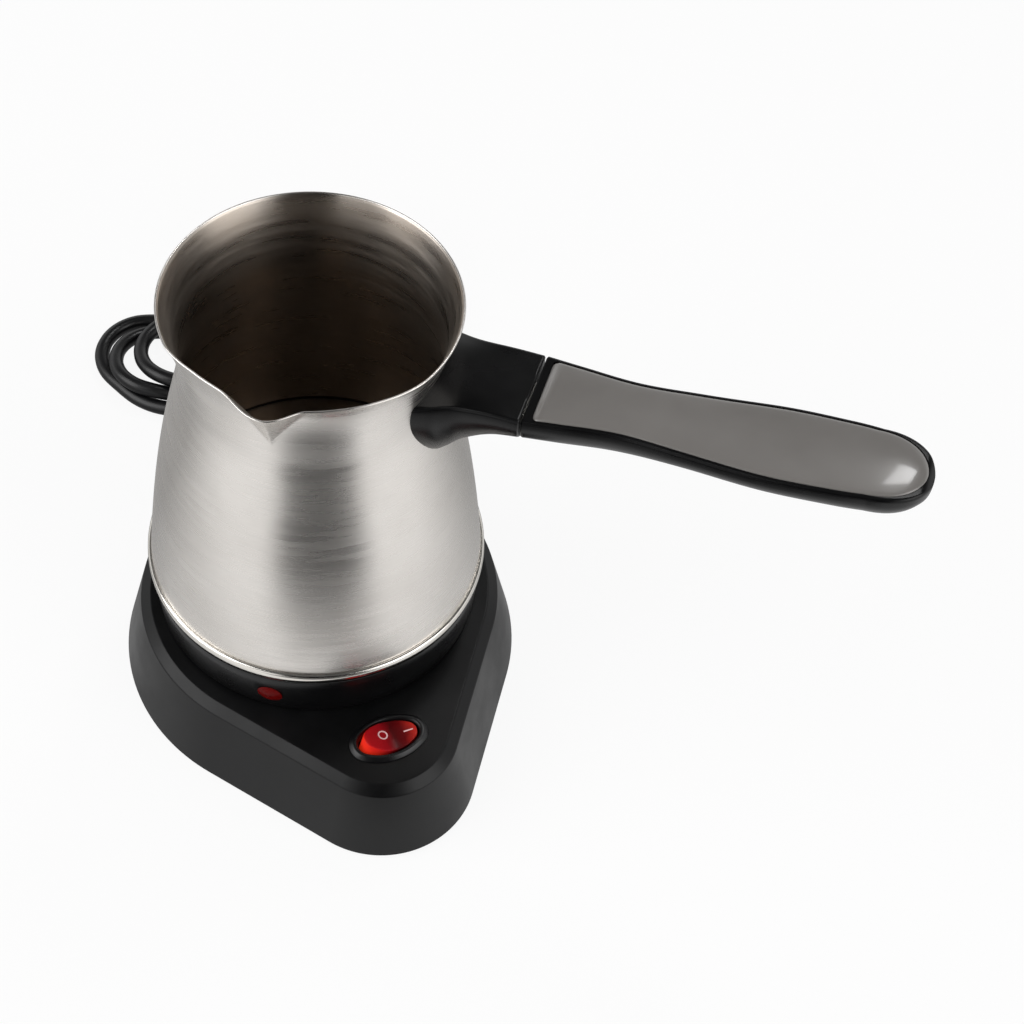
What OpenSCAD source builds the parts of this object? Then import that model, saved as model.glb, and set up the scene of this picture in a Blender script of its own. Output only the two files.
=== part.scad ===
// Electric turkish coffee maker: a necked steel pot with a pouring lip, a plastic
// skirt and a side handle, on a tear-shaped mains base that it turns on and lifts off.
// Frame: the origin is on the pot's axis in the plane of the feet, +X runs along the
// handle and +Z is up. Millimetres and degrees.

/* [Base] */
// Radius of the base's round back, at the table
back_r = 60.5; // [59:0.5:66]
// How far the centre of the round back lies from the pot's axis, towards the tip
back_shift = 2; // [0:0.5:4]
// Radius of the base's tip, at the table
tip_r = 28.5; // [27:0.5:33]
// Distance from the pot's axis to the centre of the tip
tip_reach = 56; // [55:1:64]
// Direction of the tip, turned from the handle
tip_turn = -50; // [-180:5:180]
// Height of the base's wall, from its lower edge to the top face
base_h = 27; // [26:0.5:32]
// Height of the feet under the wall's lower edge
foot_stand = 1; // [0.6:0.1:2]
// How far the base's wall leans inwards over its height
wall_lean = 6; // [3:0.5:7]
// Width of the bevel round the top face
bevel_w = 3; // [1:0.5:4]
// Height of the bevel round the top face
bevel_h = 2.4; // [1:0.2:3.4]
// Wall thickness of the base's casing
shell_t = 2.2; // [1.6:0.1:2.8]
// Thickness of the bottom cover
cover_t = 2.2; // [1.8:0.1:3]
// Radius of the rubber ring that the base stands on
foot_ring_r = 40; // [36:1:41]
// Width of the rubber ring
foot_ring_w = 4; // [3:0.5:5]
// Radius of the two round feet at the tip
tip_foot_r = 5; // [3:0.5:6]

/* [Pot] */
// Height of the pot from its steel ring's lower edge to the rim
pot_h = 106; // [95:1:118]
// Radius of the pot's neck
neck_r = 35.9; // [33:0.5:39]
// How far the rim stands out from the neck
rim_flare = 4.1; // [2:0.5:6]
// Height of the rim above the neck
neck_down = 20.5; // [16:0.5:26]
// Radius of the pot's body at its foot
body_r = 48.9; // [47:0.5:52]
// Thickness of the steel sheet
sheet = 0.8; // [0.6:0.1:1.1]
// How far the steel ring stands proud of the body
ring_proud = 1.1; // [0.6:0.1:1.6]
// Height of the steel ring
ring_h = 3.6; // [2.6:0.2:5]
// Height of the pot's inner floor above the ring's lower edge
floor_up = 11; // [10:0.5:14]
// Direction of the pouring lip, turned from the handle
lip_turn = -86; // [-90:1:-80]
// How far the lip's point stands out from the rim
lip_out = 2.3; // [1:0.1:4]
// Depth of the lip's crease down the wall
lip_drop = 16; // [10:1:18]
// Half of the angle that the lip takes of the rim
lip_spread = 14; // [10:1:18]

/* [Skirt] */
// Height of the plastic skirt under the pot
skirt_h = 16.8; // [16:0.4:22]
// Thickness of the skirt's wall
skirt_t = 2; // [1.6:0.1:2.6]
// How far the skirt's upper edge lies inside the steel ring
skirt_in = 0.6; // [0.4:0.1:1]
// How much the skirt's radius shrinks downwards
skirt_taper = 1.3; // [0.5:0.1:2]
// Gap between the skirt and the base's top face
skirt_gap = 1; // [0.6:0.1:2]
// Thickness of the sealing ring between skirt and pot
seal_t = 0.8; // [0.6:0.1:1.4]
// Radius of the pilot lamp's lens
lamp_r = 3.7; // [2.5:0.1:4.2]
// Depth of the lamp's centre below the skirt's upper edge
lamp_down = 8.8; // [8:0.2:10]

/* [Heating] */
// Radius of the heat plate under the pot's floor
plate_r = 36; // [34:0.5:37]
// Thickness of the heat plate
plate_t = 3; // [2:0.2:4]
// Radius of the heating element's path
element_r = 29; // [27:0.5:31]
// Diameter of the tubular heating element
element_d = 6.6; // [5.6:0.2:7]
// Radius of the thermostat
thermostat_r = 9; // [7:0.5:11]

/* [Connector] */
// Radius of the base's connector boss
boss_r = 21; // [20:0.5:22]
// Height of the boss above the base's top face
boss_up = 6; // [5:0.5:7]
// Radius of the pot's centre pin
pin_r = 2.5; // [2:0.1:3]
// Middle radius of the inner contact tube
live_r = 10; // [9.5:0.1:10.4]
// Middle radius of the outer contact tube
neutral_r = 15.2; // [15:0.1:15.6]
// Wall thickness of the contact tubes
tube_t = 1; // [0.8:0.1:1.2]
// Clear space on each side of a contact tube in its slot
slot_gap = 1.2; // [0.9:0.1:1.4]
// How deep the pot's contacts reach into the boss
engage = 8.5; // [6:0.5:9]
// Gap under the pot's connector where it sits on the boss
seat_gap = 0.3; // [0.2:0.1:0.5]

/* [Handle] */
// Depth of the handle's top edge below the rim
handle_down = 10.3; // [8:0.5:14]
// Length of the bracket, from the pot's neck to the seam
bracket_l = 24.6; // [20:0.5:30]
// Length of the grip, from the seam to its end
grip_l = 102.6; // [90:1:120]
// Upward slope of the grip
grip_rise = 5; // [0:0.5:9]
// Width of the handle at the seam
seam_w = 23.5; // [21:0.5:26]
// Width of the grip's waist
waist_w = 19.8; // [18:0.2:22]
// Width of the grip where the palm holds it
palm_w = 25.2; // [22:0.2:28]
// Depth of the grip
grip_d = 12.6; // [11.5:0.2:15]
// Width of the bracket's foot on the pot
foot_w = 30.5; // [28:0.5:34]
// Height of the bracket's foot on the pot
foot_d = 30; // [26:0.5:33]
// Width of the steel tongue inside the handle
tongue_w = 12; // [9:0.5:13]
// Thickness of the steel tongue
tongue_t = 3; // [2:0.2:3.4]
// Width of the grip's rim round its inlay
inlay_rim = 1.1; // [0.8:0.1:1.6]
// Thickness of the inlay
inlay_t = 1.4; // [1:0.1:2]

/* [Switch] */
// Distance from the pot's axis to the middle of the switch
switch_reach = 60.8; // [60:0.2:62]
// Length of the switch's oval bezel, across the tip
bezel_l = 23.6; // [23.2:0.2:25]
// Width of the bezel, along the tip
bezel_w = 15; // [14.8:0.2:17]
// Height of the bezel above the base's top face
bezel_up = 1.6; // [1.2:0.2:2.4]
// Length of the rocker
rocker_l = 17.4; // [16.8:0.2:17.8]
// Width of the rocker
rocker_w = 10; // [9.4:0.2:10.4]
// Angle that the rocker turns through from ON to OFF
rock_angle = 20; // [14:1:24]
// Depth of the switch's case below the top face
case_h = 14.4; // [14:0.2:16]

/* [Cord] */
// Diameter of the mains lead
cord_d = 5; // [4.6:0.1:5.6]
// Height of the lead's exit in the base's back wall
exit_h = 9; // [8:0.5:11]
// Length of the strain relief outside the wall
boot_l = 22; // [20:1:28]
// Radius of the mains plug
plug_r = 18.5; // [17:0.5:20]
// Length of the mains plug without its pins
plug_l = 40; // [34:1:46]

/* [Hidden] */
$fn = 96;
skin_fn = 32; // sides of the circles inside a hull
eps = 0.5; // how far a cut runs past the face that it opens

// Clearances
fit = 0.15; // one piece set into another of the same body
snug = 0.03; // a pressed or moulded-in piece
run_gap = 0.07; // a shaft in the hole that it turns or slides in
move_gap = 0.3; // pieces of two bodies that pass each other

// Screws: one size for plastic, one for the handle
screw_r = 1.4;
screw_head_r = 2.7;
screw_head_h = 1.7;
boss_wall = 1.8; // plastic round a screw
bolt_r = 1.9;
bolt_head_r = 3.4;
bolt_head_h = 2;

// Levels
edge_z = foot_stand; // lower edge of the base's wall
top_z = edge_z + base_h; // the base's top face
roof_z = top_z - shell_t; // underside of the top face
cover_top_z = edge_z + cover_t;
skirt_z = top_z + skirt_gap;
skirt_top_z = skirt_z + skirt_h;
ring_z = skirt_top_z + seal_t;
ring_top_z = ring_z + ring_h;
rim_z = ring_z + pot_h;
neck_z = rim_z - neck_down;
floor_z = ring_z + floor_up;
plate_top_z = floor_z - sheet;
plate_z = plate_top_z - plate_t;
seat_z = top_z + boss_up; // top of the connector boss
upper_z = seat_z + seat_gap; // underside of the pot's connector

// ---------- helpers ----------

// a circle about the pot's axis, at this angle and radius
module at(angle, radius, z = 0) rotate([0, 0, angle]) translate([radius, 0, z]) children();

module tube(z0, z1, r_in, r_out) {
    translate([0, 0, z0]) difference() {
        cylinder(h = z1 - z0, r = r_out);
        translate([0, 0, -eps]) cylinder(h = z1 - z0 + 2 * eps, r = r_in);
    }
}

// a stadium of this length along Y and width along X
module stadium(length, width, z0, z1) {
    side = (length - width) / 2;
    translate([0, 0, z0]) linear_extrude(z1 - z0) {
        for (s = [-1, 1]) translate([0, s * side]) circle(d = width);
        square([width, 2 * side], center = true);
    }
}

// a standing oval of four arcs: two flat ones at its sides, two round ones at its ends
module oval(length, width, z0, z1) {
    side_r = length * 0.72;
    end_y = ((side_r - width / 2) ^ 2 - (side_r - length / 2) ^ 2) / (2 * side_r - length);
    end_r = length / 2 - end_y;
    translate([0, 0, z0]) linear_extrude(z1 - z0) {
        for (s = [-1, 1]) translate([0, s * end_y]) circle(r = end_r);
        intersection() {
            translate([side_r - width / 2, 0]) circle(r = side_r);
            translate([width / 2 - side_r, 0]) circle(r = side_r);
            square([width, 2 * side_r * end_y / (side_r - end_r)], center = true);
        }
    }
}

// a screw that stands on its head at z = 0 and points up
module screw(length, r = screw_r, head_r = screw_head_r, head_h = screw_head_h) {
    slot_w = head_r * 0.3;
    difference() {
        cylinder(h = head_h, r = head_r);
        for (a = [0, 90]) rotate([0, 0, a]) translate([0, 0, head_h * 0.2])
            cube([head_r * 1.2, slot_w, head_h], center = true);
    }
    translate([0, 0, head_h]) cylinder(h = length, r = r);
}

// the skin over a row of rings that have the same number of points
module skin(rings) {
    n = len(rings[0]);
    last = len(rings) - 1;
    points = [for (ring = rings) each ring];
    sides = [for (i = [0:last - 1], j = [0:n - 1])
        let (a = i * n + j, b = i * n + (j + 1) % n)
        each [[a, b, b + n], [a, b + n, a + n]]];
    ends = [[for (j = [n - 1:-1:0]) j], [for (j = [0:n - 1]) last * n + j]];
    polyhedron(points, concat(sides, ends));
}

// a smooth curve through four values in a row, between the second and the third
function curve_at(a, b, c, d, t) =
    0.5 * (2 * b + (c - a) * t + (2 * a - 5 * b + 4 * c - d) * t * t
    + (3 * b - a - 3 * c + d) * t * t * t);

// the same through a whole list, with this many steps between two of its entries
function smoothed(list, steps) =
    let (m = len(list) - 1)
    [for (i = [0:m - 1], k = [0:steps - 1])
        curve_at(list[max(i - 1, 0)], list[i], list[i + 1], list[min(i + 2, m)], k / steps),
    list[m]];

function bezier(a, b, c, d, t) =
    pow(1 - t, 3) * a + 3 * t * pow(1 - t, 2) * b + 3 * t * t * (1 - t) * c + pow(t, 3) * d;

// a point at this angle, radius and height
function polar(angle, radius, z) = [radius * cos(angle), radius * sin(angle), z];

// one vector square to each of these directions, each turned no more than it has to be
function squared(ways, side, i = 0) = i == len(ways) ? [] :
    let (flat = side - (side * ways[i]) * ways[i], next = flat / norm(flat))
    concat([next], squared(ways, next, i + 1));

// a tube along a route, with a ring of points square to it at each of its points
module cord_tube(route, d, step = 36) {
    m = len(route) - 1;
    ways = [for (i = [0:m])
        let (way = route[min(i + 1, m)] - route[max(i - 1, 0)]) way / norm(way)];
    sides = squared(ways, abs(ways[0][2]) < 0.8 ? cross(ways[0], [0, 0, 1]) : [1, 0, 0]);
    skin([for (i = [0:m]) [for (a = [0:step:359])
        route[i] + d / 2 * (cos(a) * sides[i] + sin(a) * cross(sides[i], ways[i]))]]);
}

// An insulated wire through these points. Its first and last lengths are straight, so
// that each end lies flat on what it meets.
wire_d = 1.8;
wire_end = 2; // length of the straight ends
module wire(points) {
    last = len(points) - 1;
    middle = [for (i = [1:last - 1]) points[i]];
    cord_tube(concat([points[0]], smoothed(middle, 2), [points[last]]), wire_d, 45);
}

// ---------- base ----------

// the base's tear shape between two levels, drawn in by a different inset at each
module tear(z0, in0, z1, in1, faces = 64) {
    hull() for (c = [[back_shift, back_r], [tip_reach, tip_r]])
        translate([c[0], 0, z0])
            cylinder(h = z1 - z0, r1 = c[1] - in0, r2 = c[1] - in1, $fn = faces);
}

bevel_z = top_z - bevel_h;
// how far the wall's outer and inner face lie inside the base's outline at a height
function lean_at(z) = wall_lean * (z - edge_z) / (bevel_z - edge_z);
roof_in = wall_lean + shell_t + 0.8;
function inside_at(z) = shell_t + (roof_in - shell_t) * (z - edge_z) / (roof_z - edge_z);

post_r = screw_r + boss_wall; // a screw post in the casing
cover_screw_r = back_r - wall_lean - shell_t - post_r - 1; // radius of their circle
cover_screw_places = [
    for (a = [-140, -70, 70, 140]) [cover_screw_r * cos(a), cover_screw_r * sin(a)],
    [tip_reach + tip_r - wall_lean - shell_t - post_r, 0]
];
cover_screw_l = 9;

flange_t = 2;
flange_z = roof_z - 5; // underside of the lower connector's flange
flange_top_z = flange_z + flange_t;
flange_screw_r = boss_r + post_r + 1.6;
flange_r = flange_screw_r + post_r + 0.4;
flange_screw_angles = [60, 180, 300];
flange_screw_l = roof_z - flange_z + shell_t * 0.4;

// the cord's exit, opposite the tip
exit_z = edge_z + exit_h;
exit_x = back_shift - (back_r - lean_at(exit_z)); // where the wall's outside is there
boot_neck_r = cord_d / 2 + 1.5;
boot_flange_r = boot_neck_r + 1.6;
boot_flange_t = 2;
boot_r = boot_neck_r + 1.2;
lean = wall_lean / (bevel_z - edge_z); // slope of the base's wall
boot_in_x = back_shift - back_r + inside_at(exit_z + boot_flange_r) + fit; // inner flange
boot_out_x = exit_x - boot_r * lean - fit; // its taper outside
cord_in_x = boot_in_x + boot_flange_t; // where the cord leaves it again inside
clamp_x = cord_in_x + 9;
clamp_y = cord_d / 2 + post_r + 0.6;
clamp_w = 7;
clamp_t = 2.6;
cord_inner_l = 18;

module on_base() rotate([0, 0, tip_turn]) children();

module base_housing() color([0.08, 0.08, 0.085]) on_base() {
    difference() {
        union() {
            tear(edge_z, 0, bevel_z, wall_lean);
            tear(bevel_z, wall_lean, top_z, wall_lean + bevel_w);
        }
        difference() {
            tear(edge_z - eps, inside_at(edge_z - eps), roof_z, roof_in);
            // what stays of the solid inside: screw posts and the cord's saddle
            for (p = cover_screw_places) translate([p[0], p[1], cover_top_z])
                cylinder(h = base_h, r = post_r);
            for (a = flange_screw_angles) rotate([0, 0, a])
                translate([flange_screw_r, 0, flange_top_z]) cylinder(h = base_h, r = post_r);
            for (s = [-1, 1]) translate([clamp_x, s * clamp_y, exit_z - cord_d / 2 + 0.4])
                cylinder(h = base_h, r = post_r);
            translate([clamp_x - 1.5, -clamp_y, exit_z + cord_d / 2])
                cube([3, 2 * clamp_y, base_h]);
        }
        for (p = cover_screw_places) translate([p[0], p[1], 0])
            cylinder(h = cover_top_z + cover_screw_l, r = screw_r + snug);
        for (a = flange_screw_angles) rotate([0, 0, a])
            translate([flange_screw_r, 0, 0])
                cylinder(h = flange_z + flange_screw_l + 0.3, r = screw_r + snug);
        for (s = [-1, 1]) translate([clamp_x, s * clamp_y, 0])
            cylinder(h = exit_z + clamp_screw_l - 1, r = screw_r + snug);
        translate([0, 0, flange_top_z]) cylinder(h = base_h, r = boss_r + 0.4);
        translate([switch_reach, 0, 0])
            stadium(case_l + 2 * fit, case_w + 2 * fit, roof_z - eps, top_z + eps);
        translate([exit_x - 2, 0, exit_z]) rotate([0, 90, 0])
            cylinder(h = shell_t + 6, r = boot_neck_r + snug);
    }
}

cover_fit = 0.25; // the cover in the casing's wall
ring_sink = 0.8; // how deep the feet sit in the cover

module base_cover() color([0.1, 0.1, 0.1]) on_base() difference() {
    tear(edge_z + fit, shell_t + cover_fit, cover_top_z, shell_t + cover_fit + lean_at(cover_top_z));
    for (p = cover_screw_places) translate([p[0], p[1], 0]) {
        cylinder(h = 3 * cover_t, r = screw_r + 0.3);
        cylinder(h = edge_z + screw_head_h - 0.5, r = screw_head_r + 0.4);
    }
    translate([0, 0, edge_z - eps])
        tube(0, eps + ring_sink, foot_ring_r - foot_ring_w / 2, foot_ring_r + foot_ring_w / 2);
    for (p = tip_foot_places) translate([p[0], p[1], edge_z - eps])
        cylinder(h = eps + ring_sink, r = tip_foot_r + snug);
}

tip_foot_places = [for (s = [-1, 1]) [tip_reach + 4, s * (tip_r - shell_t - tip_foot_r - 6)]];

module foot_ring() color([0.16, 0.16, 0.16])
    tube(0, edge_z + ring_sink, foot_ring_r - foot_ring_w / 2 + snug,
        foot_ring_r + foot_ring_w / 2 - snug);

module tip_feet() color([0.16, 0.16, 0.16]) on_base()
    for (p = tip_foot_places) translate([p[0], p[1], 0])
        cylinder(h = edge_z + ring_sink, r = tip_foot_r);

module cover_screws() color([0.6, 0.6, 0.62]) on_base()
    for (p = cover_screw_places)
        translate([p[0], p[1], edge_z - 0.5]) screw(cover_screw_l);

// ---------- lower connector ----------

sleeve_r = pin_r + run_gap + 1;
hole_r = sleeve_r + run_gap; // the centre hole
slot_floor_z = seat_z - engage - 1.5;
sleeve_low_z = slot_floor_z - 0.9;
spring_t = 0.4;
tab_w = 4;
tab_low_z = flange_z - 6.8;
spring_h = 5;
spring_angle = 100; // the arc that a contact spring takes of its slot
// inner radius of a contact spring, and the radius of its tab's outer face
function spring_r(mid) = mid + tube_t / 2 + slot_gap - spring_t - 0.05;

module contact_slot(mid)
    translate([0, 0, slot_floor_z])
        tube(0, base_h, mid - tube_t / 2 - slot_gap, mid + tube_t / 2 + slot_gap);

module spring_tab(mid, grow = 0) translate([spring_r(mid) - grow, -tab_w / 2 - grow, tab_low_z])
    cube([spring_t + 2 * grow, tab_w + 2 * grow, slot_floor_z - tab_low_z + 0.5]);

live_angle = 90;
neutral_angle = 210;

module lower_connector() color([0.12, 0.12, 0.13]) on_base() difference() {
    union() {
        translate([0, 0, flange_z]) cylinder(h = seat_z - flange_z, r = boss_r);
        translate([0, 0, flange_z]) cylinder(h = flange_t, r = flange_r);
    }
    contact_slot(live_r);
    contact_slot(neutral_r);
    translate([0, 0, sleeve_low_z]) cylinder(h = base_h, r = hole_r);
    rotate([0, 0, live_angle]) spring_tab(live_r, snug);
    rotate([0, 0, neutral_angle]) spring_tab(neutral_r, snug);
    translate([0, 0, flange_z - eps]) cylinder(h = base_h, r = earth_stud_r + snug);
    for (a = flange_screw_angles) rotate([0, 0, a])
        translate([flange_screw_r, 0, flange_z - eps])
            cylinder(h = flange_t + 2 * eps, r = screw_r + 0.3);
}

module connector_screws() color([0.6, 0.6, 0.62]) on_base()
    for (a = flange_screw_angles) rotate([0, 0, a])
        translate([flange_screw_r, 0, flange_z - screw_head_h]) screw(flange_screw_l);

module contact_spring(mid) {
    translate([0, 0, slot_floor_z]) rotate([0, 0, -spring_angle / 2])
        rotate_extrude(angle = spring_angle)
            translate([spring_r(mid), 0]) square([spring_t, spring_h]);
    spring_tab(mid);
}

module live_spring() color([0.8, 0.62, 0.25]) on_base()
    rotate([0, 0, live_angle]) contact_spring(live_r);

module neutral_spring() color([0.8, 0.62, 0.25]) on_base()
    rotate([0, 0, neutral_angle]) contact_spring(neutral_r);

earth_stud_r = 2;
module earth_contact() color([0.8, 0.62, 0.25]) {
    translate([0, 0, sleeve_low_z]) cylinder(h = 0.6, r = sleeve_r - 0.2);
    translate([0, 0, tab_low_z]) cylinder(h = sleeve_low_z - tab_low_z, r = earth_stud_r);
}

module contact_sleeve() color([0.83, 0.68, 0.3])
    tube(sleeve_low_z + 0.6 + 0.1, seat_z - 0.4, pin_r + run_gap, sleeve_r);

// ---------- switch ----------

// the switch's own frame: origin on the top face, X along the tip, Y across it
module on_switch() on_base() translate([switch_reach, 0, top_z]) children();

opening_l = rocker_l + 1;
opening_w = rocker_w + 0.8;
case_l = opening_l + 2;
case_w = opening_w + 1.8;
pivot_z = -1; // height of the rocker's pivot over the top face
pivot_r = 1.2;
rocker_arc_r = rocker_l / 2 + 0.2; // its ends are arcs about the pivot
rocker_mid_h = 1.4; // height of the rocker's top at its middle
case_floor_t = 1.2;
lever_z = -10.2; // the contact lever's fulcrum
lever_t = 0.6;
lever_l = 12;
lever_w = 4;
lever_pin_r = 0.7; // the round edge on which it tilts
lever_tilt = 8; // from level to each side
blade_t = 0.8;
blade_w = 4.8;
blade_low_z = -21;

module switch_case() color([0.07, 0.07, 0.07]) on_switch() difference() {
    union() {
        oval(bezel_l, bezel_w, 0, bezel_up);
        stadium(case_l, case_w, -case_h, eps);
        // snap ribs under the top face
        for (s = [-1, 1]) translate([0, s * case_l / 2, -shell_t - 1.6])
            cube([5, 1.2, 3], center = true);
    }
    oval(opening_l, opening_w, case_floor_t - case_h, bezel_up + eps);
    rotate([0, 90, 0]) translate([-pivot_z, 0, -case_w])
        cylinder(h = 2 * case_w, r = pivot_r + run_gap);
    for (y = blade_places) translate([0, y, -case_h])
        cube([blade_w + 2 * snug, blade_t + 2 * snug, 4 * case_floor_t], center = true);
}

blade_places = [-lever_l / 2 + 0.6, 0, lever_l / 2 - 0.6];

module switch_terminals() color([0.8, 0.62, 0.25]) on_switch()
    for (y = blade_places) {
        // the middle blade reaches up to the lever's pin, the others stop below its ends
        top = lever_z - (y == 0 ? lever_pin_r + run_gap
            : lever_l / 2 * sin(lever_tilt) + move_gap);
        translate([-blade_w / 2, y - blade_t / 2, blade_low_z])
            cube([blade_w, blade_t, top - blade_low_z]);
    }

// at rest the switch is on: the rocker's +Y end is pressed down
module tilted(angle, z) translate([0, 0, z]) rotate([angle, 0, 0]) translate([0, 0, -z])
    children();

module rocker_shape(inset = 0) intersection() {
    oval(rocker_l - 2 * inset, rocker_w - 2 * inset, -9, 9);
    rotate([0, 90, 0]) translate([-pivot_z, 0, -rocker_w])
        cylinder(h = 2 * rocker_w, r = rocker_arc_r - inset);
    for (s = [0, 1]) mirror([0, s, 0]) translate([0, 0, rocker_mid_h - inset])
        rotate([rock_angle / 2, 0, 0]) translate([-rocker_w, -rocker_l, -12])
            cube([2 * rocker_w, 2 * rocker_l, 12]);
}

module rocker() color([0.85, 0.08, 0.06]) on_switch() tilted(-rock_angle / 2, pivot_z) {
    difference() {
        intersection() {
            rocker_shape();
            translate([-rocker_w, -rocker_l, pivot_z - 2.6])
                cube([2 * rocker_w, 2 * rocker_l, 12]);
        }
        // hollow under the top, with the plunger's post left standing
        difference() {
            intersection() {
                rocker_shape(1.3);
                translate([-rocker_w, -rocker_l, pivot_z - 2.6 - eps])
                    cube([2 * rocker_w, 2 * rocker_l, 12]);
            }
            cylinder(h = 3 * rocker_l, r = plunger_r + 1.2, center = true);
        }
        translate([0, 0, plunger_top_z]) mirror([0, 0, 1])
            cylinder(h = rocker_l, r = plunger_r + snug);
    }
    for (s = [-1, 1]) translate([s * (rocker_w / 2 + 0.4), 0, pivot_z]) rotate([0, 90, 0])
        cylinder(h = 1.3, r = pivot_r, center = true);
}

plunger_r = 1.3;
plunger_top_z = pivot_z + 0.4;
plunger_tip_z = lever_z + lever_t + 2 * move_gap;

module rocker_plunger() color([0.85, 0.85, 0.8]) on_switch() tilted(-rock_angle / 2, pivot_z) {
    translate([0, 0, plunger_tip_z + plunger_r])
        cylinder(h = plunger_top_z - plunger_tip_z - plunger_r, r = plunger_r);
    translate([0, 0, plunger_tip_z + plunger_r]) sphere(r = plunger_r);
}

module rocker_lamp() color([1, 0.5, 0.3]) on_switch() tilted(-rock_angle / 2, pivot_z)
    translate([0, -plunger_r - 1.3, pivot_z - 0.2]) rotate([90, 0, 0])
        cylinder(h = rocker_l / 2 - plunger_r - 4.2, r = 1.1);

module contact_lever() color([0.8, 0.62, 0.25]) on_switch() tilted(lever_tilt, lever_z) {
    translate([-lever_w / 2, -lever_l / 2, lever_z]) cube([lever_w, lever_l, lever_t]);
    translate([-lever_w / 2, 0, lever_z]) rotate([0, 90, 0])
        cylinder(h = lever_w, r = lever_pin_r);
}

// ---------- cord ----------

module strain_relief() color([0.07, 0.07, 0.07]) on_base()
    translate([cord_in_x, 0, exit_z]) rotate([0, -90, 0]) {
        cylinder(h = boot_flange_t, r = boot_flange_r);
        cylinder(h = cord_in_x - boot_out_x + eps, r = boot_neck_r);
        translate([0, 0, cord_in_x - boot_out_x])
            cylinder(h = boot_l, r1 = boot_r, r2 = cord_d / 2 + 0.7);
    }

module cord_inner() color([0.1, 0.1, 0.1]) on_base()
    translate([cord_in_x, 0, exit_z]) rotate([0, 90, 0])
        cylinder(h = cord_inner_l, d = cord_d);

clamp_screw_l = 10;
clamp_low_z = exit_z - cord_d / 2 - clamp_t;

module cord_clamp() color([0.75, 0.75, 0.72]) on_base() difference() {
    translate([clamp_x - clamp_w / 2, -clamp_y - post_r, clamp_low_z])
        cube([clamp_w, 2 * (clamp_y + post_r), clamp_t]);
    for (s = [-1, 1]) translate([clamp_x, s * clamp_y, 0])
        cylinder(h = base_h, r = screw_r + fit);
}

module clamp_screws() color([0.6, 0.6, 0.62]) on_base()
    for (s = [-1, 1]) translate([clamp_x, s * clamp_y, clamp_low_z - screw_head_h])
        screw(clamp_screw_l);

// from the cord's inner end to the switch and to the contacts of the boss
module base_wires() color([0.45, 0.3, 0.2]) on_base() {
    start_x = cord_in_x + cord_inner_l;
    low = cover_top_z + 2.2;
    blade_x = switch_reach - blade_w / 2;
    blade_z = top_z + blade_low_z + 1.5;
    live_tab_r = spring_r(live_r) + spring_t / 2;
    neutral_tab_r = spring_r(neutral_r) + spring_t / 2;
    // live: from the cord to the switch's first blade
    wire([[start_x, -1.5, exit_z], [start_x + wire_end, -1.5, exit_z],
        [start_x + 7, -5, exit_z - 2], [-18, -19, low], [0, -24, low], [26, -19, low],
        [blade_x - 9, blade_places[0] - 0.6, blade_z],
        [blade_x - wire_end, blade_places[0], blade_z], [blade_x, blade_places[0], blade_z]]);
    // neutral: from the cord to its contact
    wire([[start_x, 0.3, exit_z + 1], [start_x + wire_end, 0.3, exit_z + 1],
        [start_x + 6, 0, exit_z + 1], [-21, -4, exit_z - 0.5],
        polar(neutral_angle - 4, neutral_tab_r, exit_z + 0.4),
        polar(neutral_angle - 4, neutral_tab_r, tab_low_z)]);
    // earth: from the cord to the centre contact
    wire([[start_x, 1.6, exit_z - 0.6], [start_x + wire_end, 1.6, exit_z - 0.6],
        [start_x + 7, 3, exit_z - 0.6], [-12, 4.5, exit_z - 1], [-1.5, 0.6, exit_z],
        [0, 0, tab_low_z - wire_end], [0, 0, tab_low_z]]);
    // switched live: from the middle blade to its contact
    wire([[blade_x, 0, blade_z], [blade_x - wire_end, 0, blade_z],
        [blade_x - 8, 1, blade_z - 0.6], [30, 12, low + 1], [10, 16, low + 2],
        [1, live_tab_r, low + 5], [0, live_tab_r, tab_low_z - wire_end],
        [0, live_tab_r, tab_low_z]]);
    // neutral for the rocker's lamp
    wire([[blade_x, blade_places[2], blade_z], [blade_x - wire_end, blade_places[2], blade_z],
        [blade_x - 8, blade_places[2] + 2, blade_z - 1],
        [30, 22, low], [0, 25, low], [-18, 14, low], [-20, -2, low - 0.3],
        polar(neutral_angle + 5, neutral_tab_r, exit_z - 1.4),
        polar(neutral_angle + 5, neutral_tab_r, tab_low_z)]);
}

// The free cord lies on the table behind the base. Its hank has a frame of its own,
// seen from the base's: the origin under the tie, X along the runs.
boot_end_x = boot_out_x - boot_l;
hank_at = [boot_end_x - 23.8, 16.6, 0];
hank_turn = 62.4;
module on_hank() on_base() translate(hank_at) rotate([0, 0, hank_turn]) children();

hank_h = 2 * cord_d;
waist_half = 11;
waist_l = 26;
lobe_places = [[-35.5, 0, 24.5], [33, 0, 21]]; // middle and radius of the two lobes

// from the end of the strain relief down and round into the hank's first loop, in the
// base's frame from that end: along, across, height over the table
lead_points = [
    [0, 0, 10], [-2.5, 0, 9.9], [-5, -0.5, 9.5], [-7.2, -1.3, 9], [-9.4, -2.3, 8.4],
    [-11.5, -3.6, 7.7], [-13.4, -5.1, 6.9], [-15.1, -6.9, 6.1], [-16.4, -8.5, 5.5]
];
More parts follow.
